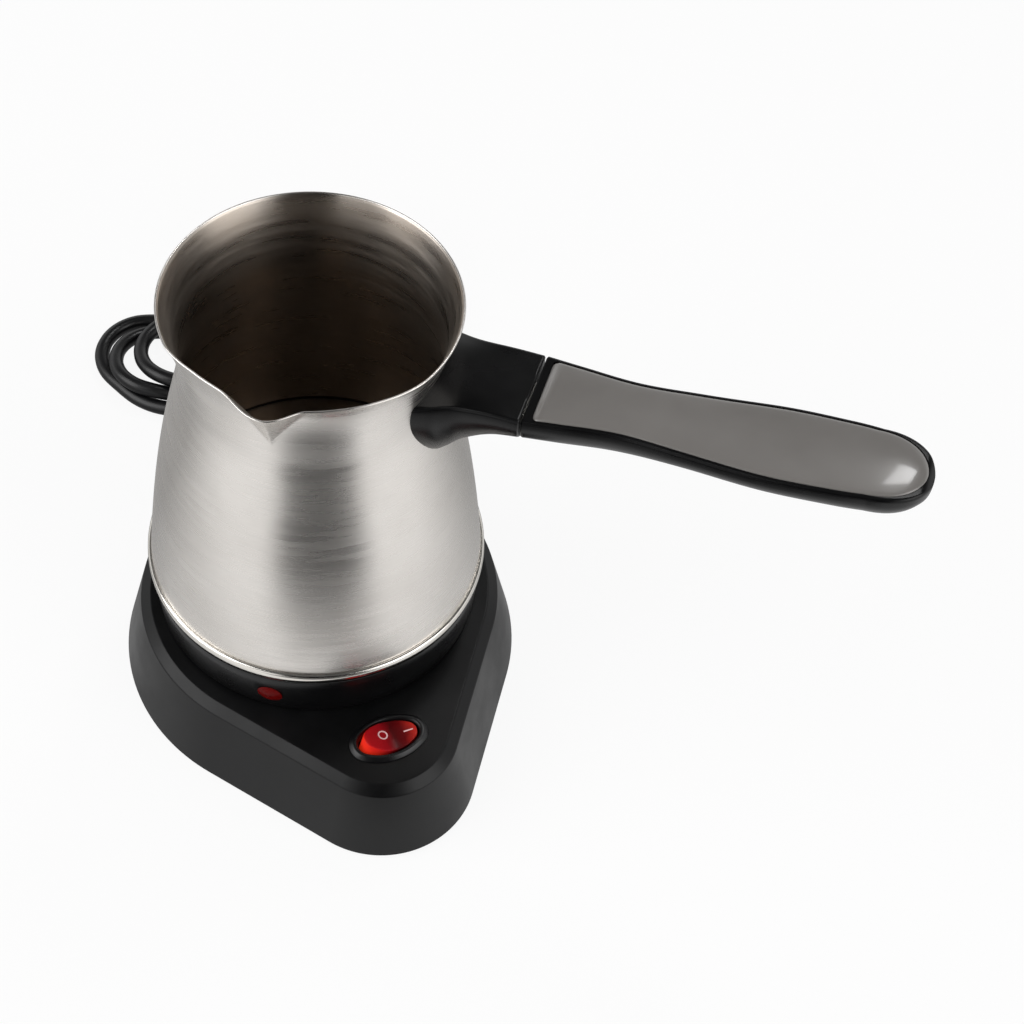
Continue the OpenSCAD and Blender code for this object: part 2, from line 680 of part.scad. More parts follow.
// from the hank's far end round to the back of the plug, in the hank's frame
tail_points = [
    [51.5, 9.5, 5.5], [54, 12, 4.8], [56.5, 14.5, 4.2], [58, 17.5, 3.8], [59.5, 21, 3.5],
    [60, 24.5, 3.4], [60, 27.5, 3.5], [59.5, 31, 3.8], [58, 34.5, 4.3], [56.5, 37.5, 4.9],
    [54, 40, 5.7], [51.5, 42.5, 6.6], [48.5, 44, 7.6], [45, 45.5, 8.7], [41.5, 46, 9.7],
    [39.5, 46, 10.3]
];
tail_end = tail_points[len(tail_points) - 1];

module cord_lead() color([0.09, 0.09, 0.1]) on_base()
    cord_tube([for (p = lead_points) p + [boot_end_x, 0, exit_z - lead_points[0][2]]], cord_d);

module cord_tail() color([0.09, 0.09, 0.1]) on_hank() cord_tube(tail_points, cord_d);

module cord_hank() color([0.09, 0.09, 0.1]) on_hank() linear_extrude(hank_h) {
    for (p = lobe_places) translate([p[0], p[1]]) circle(r = p[2]);
    square([waist_l + 30, 2 * waist_half - 1], center = true);
}

tie_w = 9;
tie_t = 0.8;
module cord_tie() color([0.15, 0.15, 0.15]) on_hank() difference() {
    side = waist_half - 0.5;
    translate([-tie_w / 2, -side - tie_t, 0]) cube([tie_w, 2 * (side + tie_t), hank_h + tie_t]);
    translate([-tie_w, -side, -eps]) cube([2 * tie_w, 2 * side, hank_h + eps]);
}

plug_tilt = 16; // the plug lies on the edge of its disc, with its neck lower
plug_disc_l = 15;
plug_neck_r = 6;
plug_pin_r = 2.4;
plug_pin_l = 19;
plug_pin_gap = 19;

// its frame: the origin at the neck's end, Z towards the pins
module on_plug() on_hank() translate(tail_end) rotate([0, plug_tilt - 90, 0]) children();

module plug_body() color([0.09, 0.09, 0.1]) on_plug() rotate_extrude() polygon([
    [0, 0], [plug_neck_r - 1.5, 0], [plug_neck_r, 2], [plug_neck_r + 1.5, plug_l * 0.22],
    [plug_r - 5, plug_l * 0.45], [plug_r - 1.5, plug_l - plug_disc_l],
    [plug_r, plug_l - plug_disc_l + 2], [plug_r, plug_l - 1], [plug_r - 1, plug_l], [0, plug_l]
]);

module plug_pins() color([0.75, 0.72, 0.65]) on_plug()
    for (s = [-1, 1]) translate([0, s * plug_pin_gap / 2, plug_l]) {
        cylinder(h = plug_pin_l - plug_pin_r, r = plug_pin_r);
        translate([0, 0, plug_pin_l - plug_pin_r]) sphere(r = plug_pin_r);
    }

// ---------- pot ----------

rim_r = neck_r + rim_flare;
belly_pull = pot_h * 0.574; // reach of the body curve's lower end
belly_lean = 0.098; // how much the body leans in at its foot
neck_pull = 13; // reach of the body curve's upper end

body_curve = [for (t = [0:1 / 18:1.001]) bezier(
    [body_r, ring_top_z], [body_r - belly_lean * belly_pull, ring_top_z + belly_pull],
    [neck_r, neck_z - neck_pull], [neck_r, neck_z], t)];
flare_curve = [for (t = [1 / 8:1 / 8:1.001]) bezier(
    [neck_r, neck_z], [neck_r, neck_z + neck_down * 0.44],
    [rim_r - rim_flare * 0.4, rim_z - neck_down * 0.16], [rim_r, rim_z], t)];
wall_curve = concat([[body_r, ring_z]], body_curve, flare_curve);

// outer radius of the pot's wall at a height
heights = [for (p = wall_curve) [p[1], p[0]]];
function wall_r(z) = lookup(z, heights);

// everything inside the wall's outer face, or inside its inner face, and a little higher
module wall_solid(inset = 0) rotate_extrude() polygon(concat(
    [[0, ring_z - (inset > 0 ? eps : 0)], [body_r - inset, ring_z - (inset > 0 ? eps : 0)]],
    [for (p = wall_curve) [p[0] - inset, p[1]]],
    [[rim_r - inset + eps / 2, rim_z + eps], [0, rim_z + eps]]));

// the same for the pouring lip; its crease starts inside the wall and leaves it at an angle
module lip_solid(inset = 0) {
    corner = 0.8;
    rotate([0, 0, lip_turn]) hull() {
        translate([rim_r + lip_out - corner - inset, 0, rim_z - 2])
            cylinder(h = 2 + eps, r = corner, $fn = skin_fn);
        for (s = [-1, 1]) rotate([0, 0, s * lip_spread])
            translate([rim_r - 2.4 - inset, 0, rim_z - 2])
                cylinder(h = 2 + eps, r = corner, $fn = skin_fn);
        translate([wall_r(rim_z - lip_drop) - 5 - inset, 0, rim_z - lip_drop - 4])
            cylinder(h = lip_drop + 4 + eps, r = corner, $fn = skin_fn);
    }
}

module pot_wall() color([0.78, 0.76, 0.73]) difference() {
    union() {
        wall_solid();
        lip_solid();
    }
    wall_solid(sheet);
    lip_solid(sheet);
    translate([0, 0, rim_z]) cylinder(h = neck_down, r = 2 * rim_r);
}

floor_rim_h = 5; // the floor's turned-down edge
floor_post_r = 2.8;
floor_post_circle = plate_r + floor_post_r + 1.2;
floor_post_angles = [for (a = [60, 180, 300]) lip_turn + a];
skirt_plate_z = skirt_z + skirt_t; // upper side of the skirt's bottom
floor_post_z = skirt_plate_z + 2.2;
skirt_screw_l = 12;

module pot_floor() color([0.72, 0.7, 0.67]) difference() {
    union() {
        rotate_extrude() polygon([
            [0, plate_top_z], [wall_r(floor_z) - 2 * sheet, plate_top_z],
            [wall_r(floor_z - floor_rim_h) - 2 * sheet, floor_z - floor_rim_h],
            [wall_r(floor_z - floor_rim_h) - sheet - snug, floor_z - floor_rim_h],
            [wall_r(floor_z) - sheet - snug, floor_z], [0, floor_z]]);
        for (a = floor_post_angles) at(a, floor_post_circle, floor_post_z)
            cylinder(h = floor_z - sheet / 2 - floor_post_z, r = floor_post_r);
    }
    for (a = floor_post_angles) at(a, floor_post_circle, floor_post_z - eps)
        cylinder(h = skirt_screw_l + eps, r = screw_r + snug);
}

module pot_ring() color([0.85, 0.84, 0.82]) {
    corner = min(0.9, ring_proud * 0.8);
    rotate_extrude() polygon(concat(
        [[body_r, ring_z], [body_r + ring_proud - corner, ring_z]],
        [for (a = [-60:30:60]) [body_r + ring_proud - corner + corner * cos(a),
            ring_z + ring_h / 2 + sign(a) * (ring_h / 2 - corner) + corner * sin(a)]],
        [[body_r + ring_proud - corner, ring_top_z], [body_r, ring_top_z]]));
}

module heat_plate() color([0.7, 0.71, 0.73]) translate([0, 0, plate_z])
    cylinder(h = plate_t, r = plate_r);

element_z = plate_z - element_d / 2;
element_gap = 60; // the angle that the element's ring leaves open
element_turn = lip_turn + 180 + element_gap;
cold_end_l = 3;
pin_end_l = 4;

module heating_element() color([0.45, 0.42, 0.4]) rotate([0, 0, element_turn]) {
    translate([0, 0, element_z]) rotate_extrude(angle = 360 - element_gap)
        translate([element_r, 0]) circle(d = element_d, $fn = 48);
    for (a = [0, 360 - element_gap]) at(a, element_r, element_z) {
        translate([0, 0, -element_d / 2 - cold_end_l])
            cylinder(h = element_d + cold_end_l - 1, d = element_d + 0.8);
        mirror([0, 0, 1]) cylinder(h = element_d / 2 + cold_end_l + pin_end_l, r = 1);
    }
}
element_pin_z = element_z - element_d / 2 - cold_end_l - pin_end_l;

thermostat_h = 6;
module thermostat() color([0.25, 0.2, 0.18]) {
    translate([0, 0, plate_z - thermostat_h]) cylinder(h = thermostat_h, r = thermostat_r);
    for (s = [-1, 1]) translate([s * (thermostat_r + 2), 0, plate_z - thermostat_h + 1.5])
        cube([5, 4, 0.8], center = true);
}

fuse_r = 2;
fuse_y = thermostat_r + fuse_r + 3;
fuse_lead = 9.5; // from its middle to the end of each lead
module thermal_fuse() color([0.8, 0.78, 0.7]) translate([0, fuse_y, plate_z - fuse_r])
    rotate([0, 90, 0]) {
        cylinder(h = 11, r = fuse_r, center = true);
        cylinder(h = 2 * fuse_lead, r = 0.6, center = true);
    }

skirt_top_r = body_r + ring_proud - skirt_in;
skirt_low_r = skirt_top_r - skirt_taper;
socket_r = boss_r + 1;
socket_t = 2.4;
upper_flange_t = 2.4;
upper_flange_r = boss_r + 9;
upper_screw_circle = upper_flange_r - 2.8;
upper_screw_angles = [for (a = [30, 150, 270]) lip_turn + a];
upper_screw_l = upper_z + upper_flange_t - skirt_z - 0.8;
skirt_corner = 1.2;
lamp_z = skirt_top_z - lamp_down;
function skirt_r(z) = skirt_low_r + skirt_taper * (z - skirt_z) / skirt_h;

module seal_ring() color([0.15, 0.15, 0.15])
    tube(skirt_top_z, ring_z, skirt_top_r - skirt_t - 1, skirt_top_r - 0.1);

module pot_skirt() color([0.09, 0.09, 0.09]) difference() {
    rotate_extrude() difference() {
        polygon([[0, skirt_z], [skirt_low_r - skirt_corner, skirt_z],
            [skirt_low_r - skirt_corner * 0.3, skirt_z + skirt_corner * 0.3],
            [skirt_r(skirt_z + skirt_corner), skirt_z + skirt_corner],
            [skirt_top_r, skirt_top_z], [0, skirt_top_z]]);
        polygon([[upper_flange_r + 2, skirt_plate_z], [skirt_low_r - skirt_t, skirt_plate_z],
            [skirt_top_r - skirt_t, skirt_top_z + eps], [0, skirt_top_z + eps],
            [0, upper_z], [upper_flange_r + 2, upper_z]]);
    }
    // the space round the socket's wall and the screw posts
    difference() {
        tube(skirt_plate_z, upper_z + eps, socket_r + socket_t, upper_flange_r + 3);
        for (a = upper_screw_angles) at(a, upper_screw_circle) cylinder(h = rim_z, r = post_r);
        for (a = floor_post_angles) at(a, floor_post_circle) cylinder(h = floor_post_z, r = post_r);
    }
    for (a = upper_screw_angles) at(a, upper_screw_circle, skirt_z + 0.6)
        cylinder(h = skirt_h, r = screw_r + snug);
    translate([0, 0, skirt_z - eps]) cylinder(h = skirt_h, r = socket_r);
    for (a = floor_post_angles) at(a, floor_post_circle, skirt_z - eps) {
        cylinder(h = skirt_h, r = screw_r + 0.2);
        cylinder(h = eps + screw_head_h - 0.4, r = screw_head_r + 0.2);
    }
    on_lamp() translate([0, 0, -2 * skirt_t]) cylinder(h = 4 * skirt_t, r = lamp_r - lens_lip);
}

module skirt_screws() color([0.6, 0.6, 0.62])
    for (a = floor_post_angles) at(a, floor_post_circle, skirt_z - 0.4) screw(skirt_screw_l);

hub_r = neutral_r + tube_t / 2 + 2.4;
hub_h = 6; // thickness of the pot's connector at its hub
groove_h = 3.5; // how deep the contact tubes sit in it

module upper_connector() color([0.12, 0.12, 0.13]) difference() {
    translate([0, 0, upper_z]) {
        cylinder(h = upper_flange_t, r = upper_flange_r);
        cylinder(h = hub_h, r = hub_r);
    }
    for (mid = [live_r, neutral_r])
        tube(upper_z - eps, upper_z + groove_h, mid - tube_t / 2 - snug, mid + tube_t / 2 + snug);
    translate([0, 0, upper_z - eps]) cylinder(h = 2 * hub_h, r = pin_r + snug);
    rotate([0, 0, live_angle]) tube_tab(live_r, snug);
    rotate([0, 0, -live_angle]) tube_tab(neutral_r, snug);
    for (a = upper_screw_angles) at(a, upper_screw_circle, upper_z - eps)
        cylinder(h = 2 * hub_h, r = screw_r + 0.2);
}

module upper_screws() color([0.6, 0.6, 0.62])
    for (a = upper_screw_angles)
        at(a, upper_screw_circle, upper_z + upper_flange_t + screw_head_h)
            mirror([0, 0, 1]) screw(upper_screw_l);

tab_top_z = upper_z + hub_h + 2.4;
module tube_tab(mid, grow = 0)
    translate([mid - tube_t / 2 - grow, -tab_w / 2 - grow, upper_z + groove_h - 0.1])
        cube([tube_t + 2 * grow, tab_w + 2 * grow, tab_top_z - upper_z - groove_h + 0.1]);

module contact_tube(mid) {
    tube(seat_z - engage, upper_z + groove_h, mid - tube_t / 2, mid + tube_t / 2);
    tube_tab(mid);
}

module live_tube() color([0.83, 0.68, 0.3]) rotate([0, 0, live_angle]) contact_tube(live_r);

module neutral_tube() color([0.83, 0.68, 0.3])
    rotate([0, 0, -live_angle]) contact_tube(neutral_r);

module earth_pin() color([0.83, 0.68, 0.3]) {
    point_h = 1;
    translate([0, 0, seat_z - engage]) cylinder(h = point_h, r1 = pin_r - 0.8, r2 = pin_r);
    translate([0, 0, seat_z - engage + point_h])
        cylinder(h = tab_top_z - seat_z + engage - point_h, r = pin_r);
    translate([0, 0, upper_z + hub_h]) cylinder(h = 1, r = pin_r + 1.2);
}

// ---------- pilot lamp ----------

lens_flange_t = 1;
lens_dome = 1;
lens_lip = 0.4; // how far the lens reaches over the edge of its hole
lens_in = skirt_t + 0.4; // depth of its inner flange
lamp_dip = atan(skirt_taper / skirt_h); // the lamp points a little downwards, as the wall does
module on_lamp() at(lip_turn, skirt_r(lamp_z), lamp_z) rotate([0, 90 + lamp_dip, 0]) children();
// a point on the lamp's axis, this far out of the skirt
function lamp_at(out) =
    polar(lip_turn, skirt_r(lamp_z) + out * cos(lamp_dip), lamp_z - out * sin(lamp_dip));

module lamp_lens() color([0.85, 0.06, 0.05]) on_lamp() {
    ball_r = (lamp_r * lamp_r + lens_dome * lens_dome) / (2 * lens_dome);
    translate([0, 0, -lens_in]) cylinder(h = lens_in + 0.1, r = lamp_r - lens_lip - snug);
    translate([0, 0, 0.1]) intersection() {
        translate([0, 0, lens_dome - ball_r]) sphere(r = ball_r, $fn = 192);
        cylinder(h = lens_dome + eps, r = lamp_r);
    }
    translate([0, 0, -lens_in - lens_flange_t]) cylinder(h = lens_flange_t, r = lamp_r);
}

bulb_r = 2.3;
bulb_l = 9;
bulb_z = -lens_in - lens_flange_t - 0.2 - bulb_l;
module lamp_bulb() color([1, 0.6, 0.35]) on_lamp() {
    translate([0, 0, bulb_z]) cylinder(h = bulb_l - bulb_r, r = bulb_r);
    translate([0, 0, bulb_z + bulb_l - bulb_r]) sphere(r = bulb_r);
}

// from the connector's tabs to the thermostat, the fuse, the element and the lamp
module pot_wires() color([0.75, 0.7, 0.65]) {
    over = tab_top_z + 1.8;
    side_z = element_pin_z + 1.6;
    stat_x = thermostat_r + 3.2;
    stat_z = plate_z - thermostat_h + 1.1;
    fuse_z = plate_z - fuse_r;
    pin_a = element_turn;
    pin_b = element_turn - element_gap;
    // live tube to thermostat
    wire([[0, live_r, tab_top_z], [0, live_r, over], [3, live_r - 1.8, over + 0.8],
        [8, 4.6, over + 0.8], [stat_x - 1, 0.8, over + 1.2], [stat_x, 0, stat_z - wire_end],
        [stat_x, 0, stat_z]]);
    // thermostat to fuse
    wire([[-stat_x, 0, stat_z], [-stat_x, 0, stat_z - wire_end], [-stat_x - 1.8, 5, over + 1.6],
        [-stat_x - 3.6, fuse_y - 3, fuse_z - 3], [-stat_x - 2, fuse_y, fuse_z],
        [-fuse_lead - wire_end, fuse_y, fuse_z], [-fuse_lead, fuse_y, fuse_z]]);
    // fuse to element
    wire([[fuse_lead, fuse_y, fuse_z], [fuse_lead + wire_end, fuse_y, fuse_z],
        [fuse_lead + 4.4, fuse_y + 1.6, fuse_z - 3.4], [fuse_lead, fuse_y + 4.6, over],
        polar(pin_b - 8, element_r - 8, side_z + 0.4),
        polar(pin_b, element_r - 1 - wire_end, side_z), polar(pin_b, element_r - 1, side_z)]);
    // element to neutral tube
    wire([[-1.2, -neutral_r, tab_top_z], [-1.2, -neutral_r, over], [-4, -neutral_r, over + 0.6],
        [-14, -13, over], polar(pin_a + 36, element_r - 8.4, over - 0.4),
        polar(pin_a + 12, element_r - 6, side_z + 0.4),
        polar(pin_a, element_r - 1 - wire_end, side_z), polar(pin_a, element_r - 1, side_z)]);
    // neutral tube to the pilot lamp
    wire([[1.2, -neutral_r, tab_top_z], [1.2, -neutral_r, over],
        polar(lip_turn, neutral_r + 3, over), polar(lip_turn, neutral_r + 8, over - 2),
        polar(lip_turn, upper_flange_r - 1.4, lamp_z + 1.9), lamp_at(bulb_z - wire_end),
        lamp_at(bulb_z)]);
}

// ---------- handle ----------

seam_x = neck_r + bracket_l;
handle_top_z = rim_z - handle_down;
seam_gap = 0.5; // the joint line between bracket and grip
edge_round = 1.2; // rounding of the handle's top edges
side_h = 2.4; // upright part of the handle's sides

// one cross-section: flat on top, upright for a little, then a half ellipse
function section(x, half, top, deep) =
    let (c = min(edge_round, half * 0.5, deep * 0.2), s = min(side_h, deep * 0.4))
    concat(
        [for (a = [0:15:180]) [x, half * cos(a), top - s - (deep - s) * sin(a)]],
        [[x, -half, top - c], [x, -half + c * 0.3, top - c * 0.3], [x, -half + c, top],
        [x, half - c, top], [x, half - c * 0.3, top - c * 0.3], [x, half, top - c]]);

// rows of [distance along, half width, depth]
bracket_rows = [
    [0, seam_w / 2, grip_d],
    [bracket_l * 0.33, seam_w / 2 + 0.4, grip_d + (foot_d - grip_d) * 0.17],
    [bracket_l * 0.65, seam_w / 2 + 1.2, grip_d + (foot_d - grip_d) * 0.54],
    [bracket_l * 0.82, seam_w / 2 + 2.2, grip_d + (foot_d - grip_d) * 0.85],
    [bracket_l * 0.96, foot_w / 2, foot_d],
    [bracket_l * 1.24, foot_w / 2 + 1, foot_d + 1]
];
grip_rows = [
    [0, seam_w / 2, grip_d],
    [grip_l * 0.1, seam_w / 2 - 1, grip_d],
    [grip_l * 0.25, waist_w / 2, grip_d],
    [grip_l * 0.42, (waist_w + palm_w) / 4, grip_d - 0.2],
    [grip_l * 0.62, palm_w / 2, grip_d - 0.8],
    [grip_l * 0.78, palm_w / 2 - 0.7, grip_d - 0.5],
    [grip_l * 0.88, palm_w / 2 - 2.1, grip_d - 0.6],
    [grip_l * 0.94, palm_w / 2 - 3.8, grip_d - 1.6],
    [grip_l * 0.975, palm_w / 2 - 6, grip_d - 3.6],
    [grip_l * 0.993, palm_w / 2 - 8.8, grip_d - 6.4],
    [grip_l, palm_w / 2 - 11.2, grip_d - 9.6]
];
grip_line = smoothed(grip_rows, 3);
function grip_top(along) = handle_top_z + along * tan(grip_rise);

tongue_z = handle_top_z - 4.4; // upper face of the tongue
tongue_end = 24; // how far it reaches into the grip
plate_h = 18;
weld_top_z = tongue_z + 2; // the plate on the wall ends under the bracket's top
weld_t = 1.4;
// where the two bolts stand along the handle from the seam, and where their heads begin
bolt_places = [
    [-bracket_l * 0.46, tongue_z - tongue_t - 6],
    [tongue_end * 0.62, grip_top(tongue_end * 0.62) - grip_d + 0.5]
];
bolt_grip = 2; // how far a bolt reaches above the tongue

module handle_metal(grow = 0) {
    translate([neck_r - 3, -tongue_w / 2 - grow, tongue_z - tongue_t - grow])
        cube([bracket_l + 3 + tongue_end + grow, tongue_w + 2 * grow, tongue_t + 2 * grow]);
    // the curved plate on the pot's wall
    intersection() {
        rotate_extrude() polygon(concat(
            [for (p = wall_curve) [p[0] - 3, p[1]]],
            [for (i = [len(wall_curve) - 1:-1:0]) [wall_curve[i][0] + weld_t + grow,
                wall_curve[i][1]]]));
        translate([0, -tongue_w / 2 - 3 - grow, weld_top_z - plate_h - grow])
            cube([2 * rim_r, tongue_w + 6 + 2 * grow, plate_h + 2 * grow]);
    }
}

module handle_plate() color([0.7, 0.7, 0.7]) difference() {
    handle_metal();
    wall_solid();
    for (p = bolt_places) translate([seam_x + p[0], 0, tongue_z - tongue_t - eps])
        cylinder(h = tongue_t + 2 * eps, r = bolt_r + snug);
}

module bolt_holes() for (p = bolt_places) translate([seam_x + p[0], 0, p[1]]) {
    translate([0, 0, -10]) cylinder(h = 10 + bolt_head_h, r = bolt_head_r + 0.3);
    cylinder(h = tongue_z + bolt_grip + 0.4 - p[1], r = bolt_r + 0.2);
}

module handle_bracket() color([0.07, 0.07, 0.07]) difference() {
    skin([for (row = smoothed(bracket_rows, 3))
        section(seam_x - row[0], row[1], handle_top_z, row[2])]);
    wall_solid();
    handle_metal(fit);
    bolt_holes();
}

module handle_screws() color([0.6, 0.6, 0.62])
    for (p = bolt_places) translate([seam_x + p[0], 0, p[1]])
        screw(tongue_z + bolt_grip - bolt_head_h - p[1], bolt_r, bolt_head_r, bolt_head_h);

// the inlay's outline on the grip's top, drawn in from the grip's own
inlay_start = 2.8;
inlay_line = [for (row = grip_line) if (row[0] > inlay_start && row[1] > 2 * inlay_rim + 1.6) row];
module inlay_outline(grow = 0) {
    half = [for (row = inlay_line) [row[0], row[1] - inlay_rim + grow]];
    last = half[len(half) - 1];
    start = [inlay_start - grow, half[0][1]];
    corner = 2;
    polygon(concat(
        [[start[0], -start[1] + corner], [start[0] + corner * 0.3, -start[1] + corner * 0.3],
        [start[0] + corner, -start[1]]],
        [for (p = half) if (p[0] > start[0] + corner) [p[0], -p[1]]],
        [[last[0] + 2 + grow, -last[1] * 0.55], [last[0] + 2.6 + grow, 0],
        [last[0] + 2 + grow, last[1] * 0.55]],
        [for (i = [len(half) - 1:-1:0]) if (half[i][0] > start[0] + corner) [half[i][0], half[i][1]]],
        [[start[0] + corner, start[1]], [start[0] + corner * 0.3, start[1] - corner * 0.3],
        [start[0], start[1] - corner]]));
}

module on_grip() translate([seam_x, 0, handle_top_z]) rotate([0, -grip_rise, 0]) children();

module grip_body() color([0.08, 0.08, 0.08]) difference() {
    skin([for (i = [len(grip_line) - 1:-1:0])
        let (row = grip_line[i], along = i == 0 ? seam_gap : row[0])
        section(seam_x + along, row[1], grip_top(along), row[2])]);
    on_grip() translate([0, 0, -inlay_t]) linear_extrude(inlay_t + 3) inlay_outline(fit);
    handle_metal(fit);
    bolt_holes();
}

module grip_inlay() color([0.46, 0.45, 0.43]) on_grip() translate([0, 0, -inlay_t])
    linear_extrude(inlay_t + 0.1) inlay_outline();

// ---------- the object ----------

base_housing();
base_cover();
foot_ring();
tip_feet();
cover_screws();
lower_connector();
connector_screws();
live_spring();
neutral_spring();
earth_contact();
switch_case();
switch_terminals();
cord_clamp();
clamp_screws();
base_wires();
strain_relief();
cord_inner();
cord_lead();
cord_hank();
cord_tie();
cord_tail();
plug_body();
plug_pins();
contact_sleeve();
rocker();
rocker_plunger();
rocker_lamp();
contact_lever();
pot_wall();
pot_floor();
pot_ring();
heat_plate();
heating_element();
thermostat();
thermal_fuse();
seal_ring();
pot_skirt();
skirt_screws();
upper_connector();
upper_screws();
earth_pin();
live_tube();
neutral_tube();
lamp_lens();
lamp_bulb();
pot_wires();
handle_plate();
handle_bracket();
handle_screws();
grip_body();
grip_inlay();
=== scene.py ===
"""Electric turkish coffee maker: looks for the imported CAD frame, in metres."""

import math

import bmesh
import bpy
from mathutils import Matrix, Vector


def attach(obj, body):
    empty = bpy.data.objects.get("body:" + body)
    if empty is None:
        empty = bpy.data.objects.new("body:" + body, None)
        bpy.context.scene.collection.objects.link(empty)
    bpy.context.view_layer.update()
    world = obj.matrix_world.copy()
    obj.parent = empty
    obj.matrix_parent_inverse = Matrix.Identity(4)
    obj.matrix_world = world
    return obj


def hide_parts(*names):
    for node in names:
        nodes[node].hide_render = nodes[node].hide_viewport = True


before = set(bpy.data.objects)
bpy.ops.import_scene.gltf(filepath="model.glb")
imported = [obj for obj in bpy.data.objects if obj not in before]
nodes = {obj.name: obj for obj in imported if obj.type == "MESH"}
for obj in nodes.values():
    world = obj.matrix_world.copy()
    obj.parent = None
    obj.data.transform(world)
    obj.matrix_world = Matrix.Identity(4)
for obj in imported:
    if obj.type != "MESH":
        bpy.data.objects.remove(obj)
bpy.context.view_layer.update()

MM = 0.001
TAU = 2 * math.pi

# ---------- sizes in mm, as in part.scad ----------

TIP_TURN = -50.0
BACK_SHIFT, BACK_R = 2.0, 60.5
TIP_REACH, TIP_R = 56.0, 28.5
EDGE_Z, TOP_Z, ROOF_Z = 1.0, 28.0, 25.8
WALL_LEAN, BEVEL_W, BEVEL_H, SHELL_T = 6.0, 3.0, 2.4, 2.2
BOSS_R = 21.0
EXIT_Z, EXIT_R = 10.0, 4.03

SWITCH_REACH = 60.8
BEZEL_L, BEZEL_W, BEZEL_UP = 23.6, 15.0, 1.6
ROCKER_L, ROCKER_W = 17.4, 10.0
OPENING_L, OPENING_W = ROCKER_L + 1.0, ROCKER_W + 0.8
CASE_L, CASE_W, CASE_H = OPENING_L + 2.0, OPENING_W + 1.8, 14.4
PIVOT_Z, ROCKER_MID_H, ROCK = -1.0, 1.4, 20.0

RING_Z, RING_TOP_Z, FLOOR_Z = 46.6, 50.2, 57.6
NECK_Z, RIM_Z = 132.1, 152.6
BODY_R, NECK_R, RIM_R, SHEET = 48.9, 35.9, 40.0, 0.8

SEAM_X, HANDLE_TOP_Z, SEAM_GAP = 60.5, 142.3, 0.5
BRACKET_BOLT_X, GRIP_BOLT_X, BOLT_HOLE_R = 49.18, 75.38, 3.7

CORD_D = 5.0
BOOT_END_X = -79.72
HANK_AT = (BOOT_END_X - 23.8, 16.6)
HANK_TURN = 62.4

# ---------- sizes of this script's own ----------

# the photograph's grip is 1.4 mm longer than the solid, and its lip lies half a degree off
GRIP_L, NOSE = 104.0, 15.0
LIP_TURN = -86.5
INLAY_START, INLAY_END, INLAY_RIM = 2.8, 102.2, 1.25
INLAY_CORNER, INLAY_NOSE = 1.6, NOSE - 0.4
# the set, in metres: the floor's half width, a dark stand and a painted shadow patch on the floor
# between it and the pot, seen only in reflections
FLOOR_HALF = 3.0
STAND_AT, STAND_W, STAND_H = (0.158, -0.368), 0.32, 0.6
PAINTED_SHADOW_AT, PAINTED_SHADOW_IN, PAINTED_SHADOW_OUT = (0.098, -0.222, 0.0), 0.085, 0.15

# ---------- small helpers ----------


def base_frame(x, y, z=0.0):
    """A point of the base's own frame, with X towards its tip, in the row frame."""
    c, s = math.cos(math.radians(TIP_TURN)), math.sin(math.radians(TIP_TURN))
    return Vector((x * c - y * s, x * s + y * c, z))


def hank_frame(u, v, z=0.0):
    """A point of the hank's frame, with U along its runs, in the row frame."""
    c, s = math.cos(math.radians(HANK_TURN)), math.sin(math.radians(HANK_TURN))
    return base_frame(HANK_AT[0] + u * c - v * s, HANK_AT[1] + u * s + v * c, z)


def switch_frame(x, y, z=0.0):
    return base_frame(SWITCH_REACH + x, y, TOP_Z + z)


def bezier(points, t):
    a, b, c, d = points
    u = 1 - t
    return tuple(
        u ** 3 * a[k] + 3 * t * u * u * b[k] + 3 * t * t * u * c[k] + t ** 3 * d[k]
        for k in range(len(a))
    )


def catmull(points, steps):
    """A smooth line through the points, as tuples."""
    out = []
    last = len(points) - 1
    for i in range(last):
        a, b = points[max(i - 1, 0)], points[i]
        c, d = points[i + 1], points[min(i + 2, last)]
        for k in range(steps):
            t = k / steps
            out.append(tuple(
                0.5 * (2 * b[j] + (c[j] - a[j]) * t
                       + (2 * a[j] - 5 * b[j] + 4 * c[j] - d[j]) * t * t
                       + (3 * b[j] - a[j] - 3 * c[j] + d[j]) * t ** 3)
                for j in range(len(b))))
    out.append(tuple(points[last]))
    return out


def smoothstep(t):
    t = min(max(t, 0.0), 1.0)
    return t * t * (3 - 2 * t)


def along_rows(rows, x):
    """The values at x, in straight lines between rows (x, value, ...), as a tuple."""
    if x <= rows[0][0]:
        return rows[0][1:]
    for a, b in zip(rows, rows[1:]):
        if x <= b[0]:
            t = (x - a[0]) / max(b[0] - a[0], 1e-9)
            return tuple(p + (q - p) * t for p, q in zip(a[1:], b[1:]))
    return rows[-1][1:]


def between(table, x):
    """The values at x, on a smooth line through the rows of a table, as a tuple."""
    return along_rows(catmull(table, 12), x)


def rounded(points, radius, steps=4):
    """A 2D polyline with its inner corners rounded; radius may be a list."""
    out = [points[0]]
    for i in range(1, len(points) - 1):
        r = radius[i] if isinstance(radius, (list, tuple)) else radius
        p = Vector(points[i])
        a, b = Vector(points[i - 1]) - p, Vector(points[i + 1]) - p
        bend = a.angle(b)
        if r <= 0 or bend > math.pi - 0.02:
            out.append(tuple(p))
            continue
        back = min(r / math.tan(bend / 2), a.length * 0.49, b.length * 0.49)
        p0, p1 = p + a.normalized() * back, p + b.normalized() * back
        for k in range(steps + 1):
            t = k / steps
            out.append(tuple((1 - t) ** 2 * p0 + 2 * t * (1 - t) * p + t * t * p1))
    out.append(points[-1])
    return out


def shade(mesh, angle=35.0):
    for face in mesh.polygons:
        face.use_smooth = True
    mesh.set_sharp_from_angle(angle=math.radians(angle))


